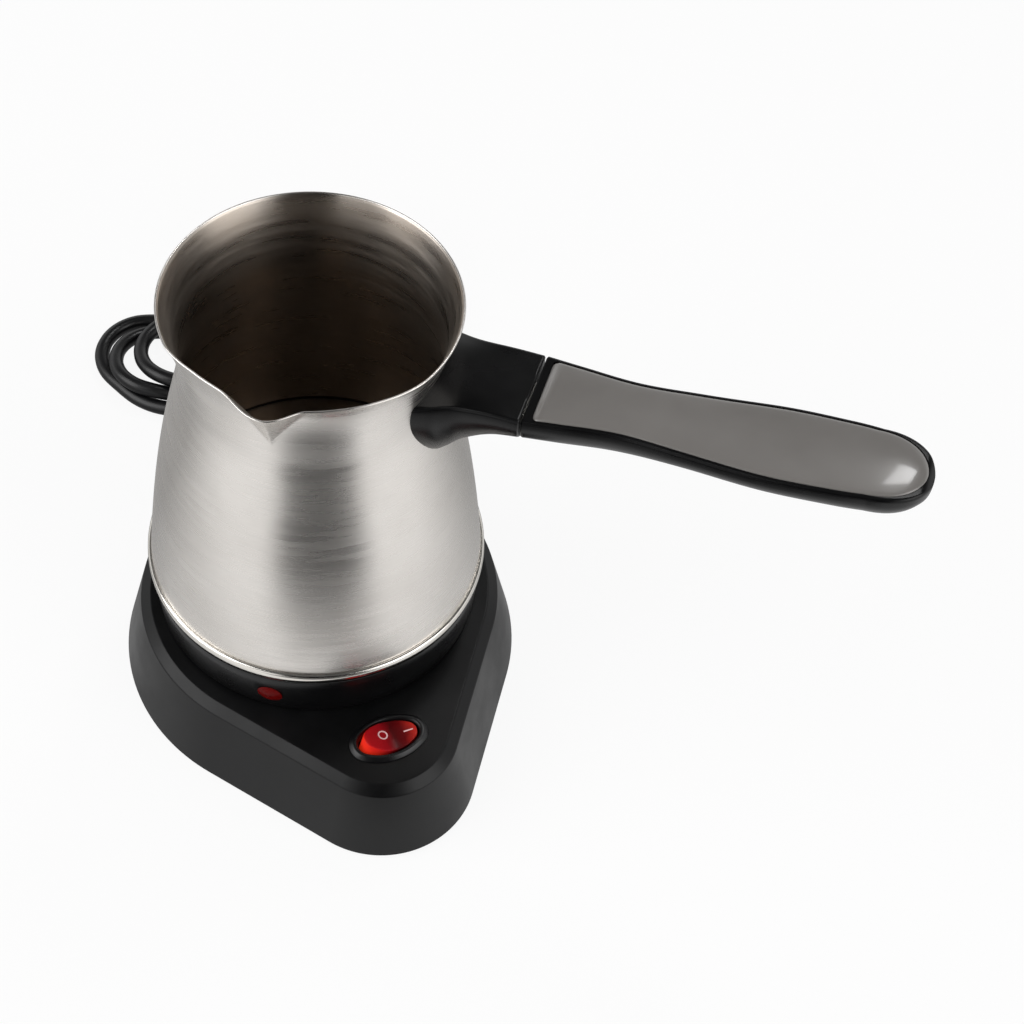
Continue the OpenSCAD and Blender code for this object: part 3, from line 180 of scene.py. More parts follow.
def add_piece(name, verts, faces, angle=35.0):
    """A mesh object from points in mm of the row frame."""
    mesh = bpy.data.meshes.new(name)
    mesh.from_pydata([tuple(c * MM for c in v) for v in verts], [], faces)
    work = bmesh.new()
    work.from_mesh(mesh)
    bmesh.ops.remove_doubles(work, verts=work.verts, dist=1e-7)
    bmesh.ops.recalc_face_normals(work, faces=work.faces)
    work.to_mesh(mesh)
    work.free()
    shade(mesh, angle)
    piece = bpy.data.objects.new(name, mesh)
    bpy.context.scene.collection.objects.link(piece)
    return piece


def loft(rings, closed=False):
    """Faces over rings of the same number of points, with flat ends or closed to a loop."""
    n = len(rings[0])
    verts = [p for ring in rings for p in ring]
    rows = len(rings)
    faces = []
    for i in range(rows if closed else rows - 1):
        a, b = i * n, (i + 1) % rows * n
        for j in range(n):
            k = (j + 1) % n
            faces.append((a + j, a + k, b + k, b + j))
    if not closed:
        faces.append(tuple(range(n - 1, -1, -1)))
        faces.append(tuple(range((rows - 1) * n, rows * n)))
    return verts, faces


def cylinder_mesh(axis_point, radius, z0, z1, sides):
    x, y = axis_point
    rings = [[(x + radius * math.cos(TAU * k / sides), y + radius * math.sin(TAU * k / sides), z)
              for k in range(sides)] for z in (z0, z1)]
    return loft(rings)


def cut(piece, cutters):
    """Takes the cutters' shapes away from the piece."""
    bpy.context.view_layer.update()
    for cutter in cutters:
        mod = piece.modifiers.new("cut", "BOOLEAN")
        mod.operation = "DIFFERENCE"
        mod.solver = "EXACT"
        mod.object = cutter
    depsgraph = bpy.context.evaluated_depsgraph_get()
    mesh = bpy.data.meshes.new_from_object(piece.evaluated_get(depsgraph))
    piece.modifiers.clear()
    old = piece.data
    piece.data = mesh
    bpy.data.meshes.remove(old)
    mesh.name = piece.name
    shade(mesh)
    for cutter in cutters:
        gone = cutter.data
        bpy.data.objects.remove(cutter)
        bpy.data.meshes.remove(gone)


def even_normals(piece):
    mod = piece.modifiers.new("even_normals", "WEIGHTED_NORMAL")
    mod.keep_sharp = True
    mod.weight = 80


def dress(piece, material, body, replaces):
    """Gives a piece its material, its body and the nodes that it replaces."""
    piece.data.materials.clear()
    piece.data.materials.append(material)
    if replaces:
        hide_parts(*replaces)
    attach(piece, body)
    return piece


# ---------- materials ----------


def new_material(name):
    mat = bpy.data.materials.new(name)
    mat.use_nodes = True
    tree = mat.node_tree
    return mat, tree, tree.nodes["Principled BSDF"]


def add_node(tree, kind, **sockets):
    node = tree.nodes.new(kind)
    for name, value in sockets.items():
        node.inputs[name.replace("_", " ")].default_value = value
    return node


def object_coords(tree, scale=(1, 1, 1)):
    """Object coordinates in mm, stretched."""
    coords = tree.nodes.new("ShaderNodeTexCoord")
    mapping = tree.nodes.new("ShaderNodeMapping")
    mapping.inputs["Scale"].default_value = tuple(1000 * s for s in scale)
    tree.links.new(coords.outputs["Object"], mapping.inputs["Vector"])
    return mapping.outputs["Vector"]


def noise(tree, vector, scale, detail, rough):
    node = add_node(tree, "ShaderNodeTexNoise", Scale=scale, Detail=detail, Roughness=rough)
    tree.links.new(vector, node.inputs["Vector"])
    return node.outputs["Fac"]


def math_node(tree, operation, *values):
    """The result of a maths node over numbers and other nodes' outputs."""
    node = tree.nodes.new("ShaderNodeMath")
    node.operation = operation
    for socket, value in zip(node.inputs, values):
        if isinstance(value, bpy.types.NodeSocket):
            tree.links.new(value, socket)
        else:
            socket.default_value = value
    return node.outputs[0]


def vector_node(tree, operation, place, other):
    """A number from a place and a fixed vector: their distance or their product."""
    node = tree.nodes.new("ShaderNodeVectorMath")
    node.operation = operation
    node.inputs[1].default_value = other
    tree.links.new(place, node.inputs[0])
    return node.outputs["Value"]


def z_of(tree, vector):
    parts = tree.nodes.new("ShaderNodeSeparateXYZ")
    tree.links.new(vector, parts.inputs[0])
    return parts.outputs["Z"]


def spread_to(tree, value, low, high, from_low=0.3, from_high=0.7, soft=False):
    node = add_node(tree, "ShaderNodeMapRange", From_Min=from_low, From_Max=from_high,
                    To_Min=low, To_Max=high)
    if soft:
        node.interpolation_type = "SMOOTHSTEP"
    tree.links.new(value, node.inputs["Value"])
    return node.outputs["Result"]


def colour_ramp(tree, value, rows, kind="LINEAR"):
    """The colour at a value, between rows of a place and its colour."""
    ramp = tree.nodes.new("ShaderNodeValToRGB")
    ramp.color_ramp.interpolation = kind
    first, last = ramp.color_ramp.elements
    first.position, last.position = rows[0][0], rows[-1][0]
    first.color, last.color = (*rows[0][1], 1), (*rows[-1][1], 1)
    for where, colour in rows[1:-1]:
        ramp.color_ramp.elements.new(where).color = (*colour, 1)
    tree.links.new(value, ramp.inputs["Fac"])
    return ramp.outputs["Color"]


def blend_colours(tree, value, dark, light, from_low=0.3, from_high=0.7):
    return colour_ramp(tree, value, [(from_low, dark), (from_high, light)])


def add_bump(tree, shader, height, distance):
    """A bump on the shader, with its distance in mm."""
    bump = add_node(tree, "ShaderNodeBump", Distance=distance * MM)
    tree.links.new(height, bump.inputs["Height"])
    tree.links.new(bump.outputs["Normal"], shader.inputs["Normal"])


def plastic(name, colour, rough, grain=0.0, grain_scale=3.0, coat=0.0, vary=0.25, gloss=0.5):
    """Moulded plastic: a fine grain, a slightly uneven gloss and a little colour variation."""
    mat, tree, shader = new_material(name)
    place = object_coords(tree)
    fine = noise(tree, place, grain_scale, 4.0, 0.6)
    wide = noise(tree, place, 0.06, 3.0, 0.55)
    dark = tuple(c * (1 - vary) for c in colour)
    light = tuple(min(c * (1 + vary), 1.0) for c in colour)
    tree.links.new(blend_colours(tree, wide, dark, light), shader.inputs["Base Color"])
    tree.links.new(spread_to(tree, wide, rough * 0.85, min(rough * 1.2, 1.0)),
                   shader.inputs["Roughness"])
    shader.inputs["Specular IOR Level"].default_value = gloss
    if grain:
        add_bump(tree, shader, fine, grain)
    if coat:
        shader.inputs["Coat Weight"].default_value = coat
        shader.inputs["Coat Roughness"].default_value = 0.08
    return mat


def metal(name, colour, rough, scratch=0.004):
    """Plain metal with fine uneven scratches."""
    mat, tree, shader = new_material(name)
    wide = noise(tree, object_coords(tree), 0.12, 3.0, 0.5)
    fine = noise(tree, object_coords(tree, (1, 1, 5)), 0.6, 4.0, 0.6)
    dark = tuple(c * (1 - 0.12) for c in colour)
    tree.links.new(blend_colours(tree, wide, dark, colour), shader.inputs["Base Color"])
    tree.links.new(spread_to(tree, fine, rough * 0.75, rough * 1.3), shader.inputs["Roughness"])
    shader.inputs["Metallic"].default_value = 1.0
    add_bump(tree, shader, fine, scratch)
    return mat


def brushed_steel(name, dark, light, rough, stretch, streak):
    """Steel brushed round the pot's axis: fine rings of scratches, with a vertical sheen."""
    mat, tree, shader = new_material(name)
    rings = noise(tree, object_coords(tree, (0.02, 0.02, 1.0)), 9.0, 5.0, 0.65)
    broad = noise(tree, object_coords(tree, (0.03, 0.03, 0.35)), 1.4, 3.0, 0.5)
    cloud = noise(tree, object_coords(tree), 0.05, 3.0, 0.55)
    clouded = math_node(tree, "MULTIPLY", cloud, 0.55)
    mixed = math_node(tree, "MULTIPLY_ADD", rings, 0.45, clouded)
    tree.links.new(blend_colours(tree, mixed, dark, light, 0.4, 0.6),
                   shader.inputs["Base Color"])
    tree.links.new(spread_to(tree, broad, rough * 0.85, rough * 1.2), shader.inputs["Roughness"])
    shader.inputs["Metallic"].default_value = 1.0
    shader.inputs["Anisotropic"].default_value = stretch
    shader.inputs["Anisotropic Rotation"].default_value = 0.25
    tangent = tree.nodes.new("ShaderNodeTangent")
    tangent.direction_type = "RADIAL"
    tangent.axis = "Z"
    tree.links.new(tangent.outputs["Tangent"], shader.inputs["Tangent"])
    add_bump(tree, shader, rings, streak)
    return mat


def lit_plastic(name, colour, glow, power, rough=0.14, coat=0.3):
    """Clear red plastic with a lamp behind it."""
    mat, tree, shader = new_material(name)
    place = object_coords(tree)
    wide = noise(tree, place, 0.35, 2.0, 0.5)
    dark = tuple(c * 0.7 for c in colour)
    tree.links.new(blend_colours(tree, wide, dark, colour), shader.inputs["Base Color"])
    tree.links.new(spread_to(tree, wide, rough * 0.8, rough * 1.3), shader.inputs["Roughness"])
    shader.inputs["Emission Color"].default_value = (*glow, 1)
    shader.inputs["Emission Strength"].default_value = power
    shader.inputs["Specular IOR Level"].default_value = 0.06
    shader.inputs["Coat Weight"].default_value = coat
    shader.inputs["Coat Roughness"].default_value = 0.05
    fine = noise(tree, place, 1.5, 3.0, 0.5)
    add_bump(tree, shader, fine, 0.01)
    return mat


def rocker_plastic():
    """The rocker's red, with painted light and shade along it: painted highlights at both ends,
    painted shade over its middle and darkest on its pressed half, and a glow at the raised end's
    sides that is partly its lamp's light and partly a painted highlight."""
    mat = lit_plastic("rocker_red", (0.3, 0.006, 0.008), (1.0, 0.04, 0.01), 0.0, 0.2, 0.0)
    tree = mat.node_tree
    shader = tree.nodes["Principled BSDF"]
    place = object_coords(tree)
    along = vector_node(tree, "DOT_PRODUCT", place, tuple(base_frame(0, 1, 0)))
    level = spread_to(tree, along, 0.0, 1.0, -9.0, 9.0)
    depth = noise(tree, place, 0.22, 2.0, 0.5)
    uneven = math_node(tree, "MULTIPLY_ADD", depth, 0.16, level)
    # painted highlights at both ends and painted shade over the middle and the pressed half, with a
    # little random unevenness
    colour = colour_ramp(tree, uneven, [
        (0.08, (0.62, 0.02, 0.012)), (0.25, (0.36, 0.006, 0.010)), (0.5, (0.26, 0.005, 0.009)),
        (0.66, (0.06, 0.002, 0.003)), (0.82, (0.10, 0.003, 0.004)), (1.0, (0.40, 0.02, 0.014))])
    tree.links.new(colour, shader.inputs["Base Color"])
    # a glow on the raised end's sides: partly the lamp's light, partly a painted highlight
    coords = tree.nodes.new("ShaderNodeTexCoord")
    side = spread_to(tree, z_of(tree, coords.outputs["Normal"]), 1.0, 0.04, 0.35, 0.85)
    end = spread_to(tree, along, 0.36, 0.0, -8.0, -0.5, soft=True)
    glow = math_node(tree, "MULTIPLY", side, end)
    tree.links.new(glow, shader.inputs["Emission Strength"])
    return mat


def inside_steel():
    """The inside of the wall, brown steel with painted light and shade: lighter at the flare as a
    painted highlight, brown and darker deep down, where the darkness is painted shade, and a painted
    crease shadow as a dark line where it meets the floor."""
    mat = brushed_steel("steel_inside", (0.58, 0.52, 0.46), (0.66, 0.60, 0.54), 0.30, 0.72,
                        0.00004)
    tree = mat.node_tree
    shader = tree.nodes["Principled BSDF"]
    steel = shader.inputs["Base Color"].links[0].from_socket
    z = z_of(tree, object_coords(tree))
    height = spread_to(tree, z, 0.0, 1.0, FLOOR_Z, FLOOR_Z + 100)
    # painted light and shade by height: a painted crease shadow line at the floor, painted shade
    # deep down and a painted highlight at the flare
    line, deep, flare = (0.02, 0.02, 0.02), (0.5, 0.47, 0.44), (0.8, 0.8, 0.8)
    painted_light_and_shade = colour_ramp(tree, height, [(0.0, line), (0.009, line), (0.014, deep), (0.72, deep),
                                      (0.9, flare)])
    lit_and_shaded_steel = tree.nodes.new("ShaderNodeVectorMath")
    lit_and_shaded_steel.operation = "MULTIPLY"
    tree.links.new(steel, lit_and_shaded_steel.inputs[0])
    tree.links.new(painted_light_and_shade, lit_and_shaded_steel.inputs[1])
    tree.links.new(lit_and_shaded_steel.outputs[0], shader.inputs["Base Color"])
    return mat


STEEL = brushed_steel("steel_outside", (0.68, 0.65, 0.615), (0.74, 0.71, 0.675), 0.27, 0.6,
                      0.0002)
INSIDE = inside_steel()
INSIDE_FLOOR = brushed_steel("steel_inside_floor", (0.26, 0.21, 0.165), (0.34, 0.28, 0.23), 0.32,
                             0.75, 0.00005)
RING_STEEL = metal("ring_steel", (0.80, 0.77, 0.72), 0.16, 0.001)
BLACK_BASE = plastic("base_black", (0.0034, 0.0034, 0.0037), 0.36, 0.006, 3.2, gloss=0.24)
BLACK_SKIRT = plastic("skirt_black", (0.003, 0.003, 0.0033), 0.30, 0.004, 3.0, gloss=0.25)
BLACK_HANDLE = plastic("handle_black", (0.003, 0.003, 0.0032), 0.24, 0.004, 3.0, gloss=0.22)
BEZEL_BLACK = plastic("bezel_black", (0.004, 0.004, 0.0044), 0.30, 0.003, 4.0, gloss=0.4)
GREY_INLAY = plastic("inlay_grey", (0.166, 0.157, 0.148), 0.22, 0.0012, 2.0, 0.6, 0.04)
CORD_BLACK = plastic("cord_black", (0.004, 0.004, 0.0045), 0.33, 0.008, 2.2, gloss=0.4)
RUBBER = plastic("rubber", (0.02, 0.02, 0.02), 0.7, 0.02, 2.0)
COVER_BLACK = plastic("cover_black", (0.018, 0.018, 0.018), 0.5, 0.02, 2.5)
RED_ROCKER = rocker_plastic()
RED_LAMP = lit_plastic("lamp_red", (0.75, 0.03, 0.01), (1.0, 0.06, 0.012), 0.75)
RED_LENS = lit_plastic("lens_red", (0.09, 0.001, 0.001), (1.0, 0.02, 0.012), 0.01, 0.3, 0.0)
MARK_WHITE = plastic("mark_white", (0.80, 0.50, 0.50), 0.4, 0.002, 3.0)
BRASS = metal("brass", (0.78, 0.60, 0.28), 0.25)
PIN_NICKEL = metal("pin_nickel", (0.72, 0.70, 0.66), 0.2)
SCREW = metal("screw_steel", (0.52, 0.52, 0.53), 0.3)
ALUMINIUM = metal("aluminium", (0.62, 0.63, 0.64), 0.35, 0.01)
ELEMENT = metal("element_metal", (0.22, 0.19, 0.17), 0.5, 0.01)
WIRE = plastic("wire_cover", (0.35, 0.24, 0.13), 0.45)
PALE = plastic("pale_plastic", (0.55, 0.53, 0.48), 0.5)
TIE = plastic("tie_black", (0.014, 0.014, 0.014), 0.55, 0.03, 1.6)


# ---------- camera, floor and lights ----------


def add_camera():
    """The photograph's camera, as fitted to it."""
    right = Vector((0.9539, 0.2937, 0.0621))
    up = Vector((-0.2707, 0.7522, 0.6007))
    forward = Vector((-0.1297, 0.5898, -0.7971))
    data = bpy.data.cameras.new("camera")
    data.sensor_width = 36.0
    data.lens = 70.3125
    data.clip_start = 0.01
    cam = bpy.data.objects.new("camera", data)
    bpy.context.scene.collection.objects.link(cam)
    turn = Matrix((right, up, -forward)).transposed().to_4x4()
    cam.matrix_world = Matrix.Translation(Vector((130.91, -329.5, 533.47)) * MM) @ turn
    bpy.context.scene.camera = cam


def add_sheet(name, corners, material):
    """A flat piece of the set from its four corners, in metres."""
    mesh = bpy.data.meshes.new(name)
    mesh.from_pydata(corners, [], [(0, 1, 2, 3)])
    mesh.materials.append(material)
    sheet = bpy.data.objects.new(name, mesh)
    bpy.context.scene.collection.objects.link(sheet)
    return sheet


def floor_white():
    """White to the camera, and painted darker where polished steel shows it: painted shadow and
    shade that only reflections carry.
    """
    mat, tree, shader = new_material("floor_white")
    shader.inputs["Base Color"].default_value = (0.86, 0.86, 0.86, 1)
    shader.inputs["Roughness"].default_value = 0.9
    shader.inputs["Specular IOR Level"].default_value = 0.1
    place = tree.nodes.new("ShaderNodeTexCoord").outputs["Object"]
    # painted shade seen only in reflections: a painted shadow patch before the stand, and painted
    # shade behind the pot and on its left
    away = vector_node(tree, "DISTANCE", place, PAINTED_SHADOW_AT)
    painted_shadow = spread_to(tree, away, 1.0, 0.0, PAINTED_SHADOW_IN, PAINTED_SHADOW_OUT, soft=True)
    behind = vector_node(tree, "DOT_PRODUCT", place, (-0.5, 1.0, 0.0))
    painted_shade = spread_to(tree, behind, 0.0, 0.65, -0.11, 0.06)
    darker = math_node(tree, "MAXIMUM", painted_shadow, painted_shade)
    rays = tree.nodes.new("ShaderNodeLightPath").outputs
    mirrored = math_node(tree, "MULTIPLY", darker, rays["Is Glossy Ray"])
    glow = add_node(tree, "ShaderNodeEmission", Color=(1, 1, 1, 1))
    tree.links.new(math_node(tree, "SUBTRACT", 1.0, mirrored), glow.inputs["Strength"])
    seen = math_node(tree, "MAXIMUM", rays["Is Camera Ray"], rays["Is Glossy Ray"])
    seen = math_node(tree, "MAXIMUM", seen, rays["Is Transmission Ray"])
    mix = tree.nodes.new("ShaderNodeMixShader")
    tree.links.new(math_node(tree, "MULTIPLY", seen, 0.9), mix.inputs["Fac"])
    tree.links.new(shader.outputs["BSDF"], mix.inputs[1])
    tree.links.new(glow.outputs["Emission"], mix.inputs[2])
    tree.links.new(mix.outputs["Shader"], tree.nodes["Material Output"].inputs["Surface"])
    return mat


def add_floor():
    h = FLOOR_HALF
    corners = [(-h, -h, 0), (h, -h, 0), (h, h, 0), (-h, h, 0)]
    floor = add_sheet("floor", corners, floor_white())


def stand_black():
    mat, _, shader = new_material("stand_black")
    shader.inputs["Base Color"].default_value = (0.004, 0.004, 0.004, 1)
    shader.inputs["Roughness"].default_value = 1.0
    shader.inputs["Specular IOR Level"].default_value = 0.0
    return mat


def add_stand():
    """The dark stand in front of the set, which only polished faces show."""
    way = Vector((*STAND_AT, 0)).normalized()
    side = Vector((-way.y, way.x, 0)) * STAND_W / 2
    foot = Vector((*STAND_AT, 0.001))
    head = Vector((0, 0, STAND_H))
    corners = [foot - side, foot + side, foot + side + head, foot - side + head]
    stand = add_sheet("stand", corners, stand_black())
    stand.visible_camera = False
    stand.visible_diffuse = False
    stand.visible_shadow = False
    stand.visible_transmission = False


def add_lamp(name, place, aim, size, power):
    """A white lamp, in metres."""
    data = bpy.data.lights.new(name, "AREA")
    data.shape = "RECTANGLE"
    data.size, data.size_y = size
    data.energy = power
    lamp = bpy.data.objects.new(name, data)
    bpy.context.scene.collection.objects.link(lamp)
    lamp.location = place
    way = Vector(aim) - Vector(place)
    lamp.rotation_euler = way.to_track_quat("-Z", "Y").to_euler()


def add_world():
    """A pale studio: white all round, with a grey ceiling."""
    world = bpy.data.worlds.new("world")
    bpy.context.scene.world = world
    world.use_nodes = True
    tree = world.node_tree
    coords = tree.nodes.new("ShaderNodeTexCoord")
    sky = colour_ramp(tree, z_of(tree, coords.outputs["Generated"]),
                      [(0.30, (1, 1, 1)), (0.62, (0.10, 0.10, 0.10))], "EASE")
    tree.links.new(sky, tree.nodes["Background"].inputs["Color"])


# ---------- the mains lead ----------

# in the base's frame from the strain relief's end, as in part.scad
LEAD = [
    (0, 0, 10), (-2.5, 0, 9.9), (-5, -0.5, 9.5), (-7.2, -1.3, 9), (-9.4, -2.3, 8.4),
    (-11.5, -3.6, 7.7), (-13.4, -5.1, 6.9), (-15.1, -6.9, 6.1), (-16.4, -8.5, 5.5),
]


def hank_end(middle, radius, heights):
    """Points round one end of the hank, from (angle, height) pairs."""
    return [(middle[0] + radius * math.cos(math.radians(a)),
             middle[1] + radius * math.sin(math.radians(a)), z) for a, z in heights]


# in the hank's frame: three turns on the left and two on the right, one over the other
FIRST_LOOP = (
    [(-27.3, -18.9, 3.7), (-34.8, -17.7, 2.8), (-41.7, -14.8, 2.5), (-47.7, -10.4, 2.5)]
    + hank_end((-41.9, 5.2), 15.5, [(218 - 25 * k, 2.5) for k in range(6)])
    + [(-34.8, 20.7, 2.5), (-28, 19.4, 2.5), (-22, 16.8, 2.5), (-17, 13.4, 2.5),
       (-12, 10.1, 2.5), (-6.5, 8.1, 2.5), (0, 7.6, 2.5), (6, 8.6, 2.5), (12.2, 11.3, 2.5),
       (18.4, 14.2, 2.5)]
    + hank_end((24.5, 0), 15.4, [(88 - 22 * k, 2.5) for k in range(9)])
    + [(18.4, -14.2, 2.5), (12.2, -11.3, 2.5), (6, -8.6, 2.5), (0, -7.6, 2.5)]
)
SECOND_LOOP = (
    [(-8, -8.5, 2.7), (-16, -10.7, 3.4), (-23.2, -13.1, 4.7), (-29.4, -14.4, 6.1)]
    + hank_end((-36, 0.6), 15.2, list(zip(
        range(270, 70, -24), (7.3, 7.8, 7.6, 6.8, 5.8, 4.8, 3.9, 3.3, 2.9))))
    + [(-27, 13.1, 2.6), (-21.6, 9.5, 2.5), (-15, 5.6, 2.5), (-8, 3.1, 2.5), (0, 2.6, 2.5),
       (7, 3.5, 2.8), (13, 6.2, 4.3), (18.6, 10, 6.2), (24.7, 14.1, 7.3)]
    + hank_end((30.9, 0), 15.4, list(zip(
        range(88, -89, -22), (7.3, 6.3, 4.8, 3.6, 3.2, 3.6, 4.8, 6.3, 7.3))))
    + [(24.7, -14.1, 7.3), (18.6, -10, 6.2), (13, -6.2, 4.3), (7, -3.5, 2.8), (0, -2.6, 2.5)]
)
THIRD_LOOP = (
    [(-7, -3.3, 4.4), (-13.6, -6.3, 7.3), (-19.6, -9.6, 9.2)]
    + hank_end((-27.5, 3.4), 15.4, list(zip(
        range(275, 80, -24), (10.3, 10.7, 10.3, 9.4, 8.6, 8.1, 8, 7.9, 7.8))))
    + [(-19.5, 16.6, 7.6), (-13.4, 12.6, 7.5), (-7, 7.6, 7.5), (1, 3.4, 7.6), (10, 1, 7.8),
       (19, 0.4, 8.1), (28, 1.1, 8.9), (36, 2.8, 9.4), (43.6, 5.6, 8.9)]
)
TAIL = [
    (51.5, 9.5, 5.5), (54, 12, 4.8), (56.5, 14.5, 4.2), (58, 17.5, 3.8), (59.5, 21, 3.5),
    (60, 24.5, 3.4), (60, 27.5, 3.5), (59.5, 31, 3.8), (58, 34.5, 4.3), (56.5, 37.5, 4.9),
    (54, 40, 5.7), (51.5, 42.5, 6.6), (48.5, 44, 7.6), (45, 45.5, 8.7), (41.5, 46, 9.7),
    (39.5, 46, 10.3),
]


def lead_route():
    """The lead's route: every second point to the hank, its turns, every third to the plug."""
    lead = [base_frame(BOOT_END_X + x, y, z) for x, y, z in LEAD[::2]]
    rest = [hank_frame(*p) for p in FIRST_LOOP + SECOND_LOOP + THIRD_LOOP + TAIL[::3]]
    return lead + rest


def add_cord():
    points = lead_route()
    data = bpy.data.curves.new("mains_lead", "CURVE")
    data.dimensions = "3D"
    data.bevel_depth = CORD_D / 2 * MM
    data.bevel_resolution = 5
    data.resolution_u = 8
    data.use_fill_caps = True
    spline = data.splines.new("BEZIER")
    spline.bezier_points.add(len(points) - 1)
    for k, (point, place) in enumerate(zip(spline.bezier_points, points)):
        back = place - points[k - 1] if k else points[1] - place
        ahead = points[k + 1] - place if k + 1 < len(points) else back
        way = (back.normalized() + ahead.normalized()).normalized() * 0.335
        point.handle_left_type = point.handle_right_type = "FREE"
        point.co = place * MM
        point.handle_left = (place - way * back.length) * MM
        point.handle_right = (place + way * ahead.length) * MM
    lead = bpy.data.objects.new("mains_lead", data)
    bpy.context.scene.collection.objects.link(lead)
    return dress(lead, CORD_BLACK, "base", ("cord_lead", "cord_hank", "cord_tail"))


def add_tie():
    """A band round the strands at the hank's middle."""
    outline = [(-10.4, 0.0), (-10.4, 5.2), (-6.0, 6.2), (0.6, 10.3), (6.6, 10.3),
               (10.4, 5.2), (10.4, 0.0)]
    outline = rounded([(0, 0.0)] + outline + [(0, 0.0)], 2.2, 5)[1:-1]
    rings = []
    half_w = 4.5
    for across, out in ((-half_w, 0.0), (-half_w, 0.55), (-half_w + 0.25, 0.8),
                        (half_w - 0.25, 0.8), (half_w, 0.55), (half_w, 0.0)):
        ring = []
        for i, (v, z) in enumerate(outline):
            a = Vector(outline[i - 1])
            b = Vector(outline[(i + 1) % len(outline)])
            way = (b - a).normalized()
            side = Vector((-way.y, way.x))
            p = Vector((v, z)) + side * out
            ring.append(tuple(hank_frame(across, p.x, max(p.y, 0.0))))
        rings.append(ring)
    verts, faces = loft(rings, closed=True)
    tie = add_piece("cord_tie_band", verts, faces)
    return dress(tie, TIE, "base", ("cord_tie",))


def add_plug():
    """The two-pin mains plug, turned about its own axis, with grip grooves in its sides."""
    tilt = math.radians(16)
    origin = Vector(TAIL[-1])
    sides = 72
    groove_from, groove_to, groove_deep = 26.0, 38.0, 0.45
    profile = rounded(
        [(0, 0), (3.6, 0), (4.5, 0.5), (4.9, 2), (5.0, 5.0), (5.8, 8.0), (8.2, 12.4),
         (12.6, 17.4), (16.2, 22.2), (17.7, 26.0), (18.5, 28.2), (18.5, 38.8), (17.4, 40),
         (15.4, 40), (15.0, 39.5), (0, 39.5)],
        [0, 0.5, 0.5, 1, 3, 3, 5, 5, 3, 1.5, 1, 1, 0.4, 0.3, 0.3, 0], 3)
    rings = []
    for r, along in profile:
        ring = []
        for k in range(sides):
            a = TAU * k / sides
            groove = 0.0
            if groove_from < along < groove_to and r > 17:
                groove = groove_deep * (0.5 - 0.5 * math.cos(18 * a)) * smoothstep(
                    min(along - groove_from, groove_to - along) / 2)
            rr = max(r - groove, 0.01)
            x, y = rr * math.cos(a), rr * math.sin(a)
            # Z of the plug's frame points along -U and a little up
            u = -along * math.cos(tilt) + x * math.sin(tilt)
            z = along * math.sin(tilt) + x * math.cos(tilt)
            ring.append(tuple(hank_frame(origin.x + u, origin.y + y, max(origin.z + z, 0.0))))
        rings.append(ring)
    verts, faces = loft(rings)
    plug = add_piece("mains_plug", verts, faces)
    even_normals(plug)
    return dress(plug, CORD_BLACK, "base", ("plug_body",))


# ---------- base ----------


def arc(middle_x, radius, first, last, steps):
    """Points of an arc about a point of the X axis."""
    angles = [first + (last - first) * k / steps for k in range(steps + 1)]
    return [(middle_x + radius * math.cos(a), radius * math.sin(a)) for a in angles]


def straight(start, end, steps=6):
    """The points between two others."""
    return [tuple(p + (q - p) * k / steps for p, q in zip(start, end)) for k in range(1, steps)]


def tear_outline(inset, z):
    """The base's outline, drawn in by inset, as points in the row frame."""
    spread = math.acos((BACK_R - TIP_R) / (TIP_REACH - BACK_SHIFT))
    tip = arc(TIP_REACH, TIP_R - inset, -spread, spread, 56)
    back = arc(BACK_SHIFT, BACK_R - inset, spread, TAU - spread, 120)
    points = tip + straight(tip[-1], back[0]) + back + straight(back[-1], tip[0])
    return [tuple(base_frame(x, y, z)) for x, y in points]


def inside_at(z):
    """How far the wall's inside is drawn in from the outline at the wall's foot."""
    return SHELL_T + (WALL_LEAN + 0.8) * (z - EDGE_Z) / (ROOF_Z - EDGE_Z)


def stadium_half(length, width, y):
    """Half width at y of a stadium of this length along Y."""
    past = max(abs(y) - (length - width) / 2, 0.0)
    return math.sqrt(max(width * width / 4 - past * past, 0.0))


def oval_half(length, width, y):
    """Half width at y of an oval of four arcs, as the CAD's."""
    side_r = length * 0.72
    end_y = ((side_r - width / 2) ** 2 - (side_r - length / 2) ** 2) / (2 * side_r - length)
    end_r = length / 2 - end_y
    y = abs(y)
    if y <= side_r * end_y / (side_r - end_r):
        return math.sqrt(side_r ** 2 - y * y) - (side_r - width / 2)
    return math.sqrt(max(end_r ** 2 - (y - end_y) ** 2, 0.0))


def flat_ring(half, length, width, z, count=96):
    """One of these outlines as a ring in the switch's frame, with its length across the tip."""
    ring = []
    for k in range(count):
        a = TAU * (k + 0.5) / count
        y = length / 2 * math.sin(a)
        ring.append((math.copysign(half(length, width, y), math.cos(a)), y, z))
    return ring


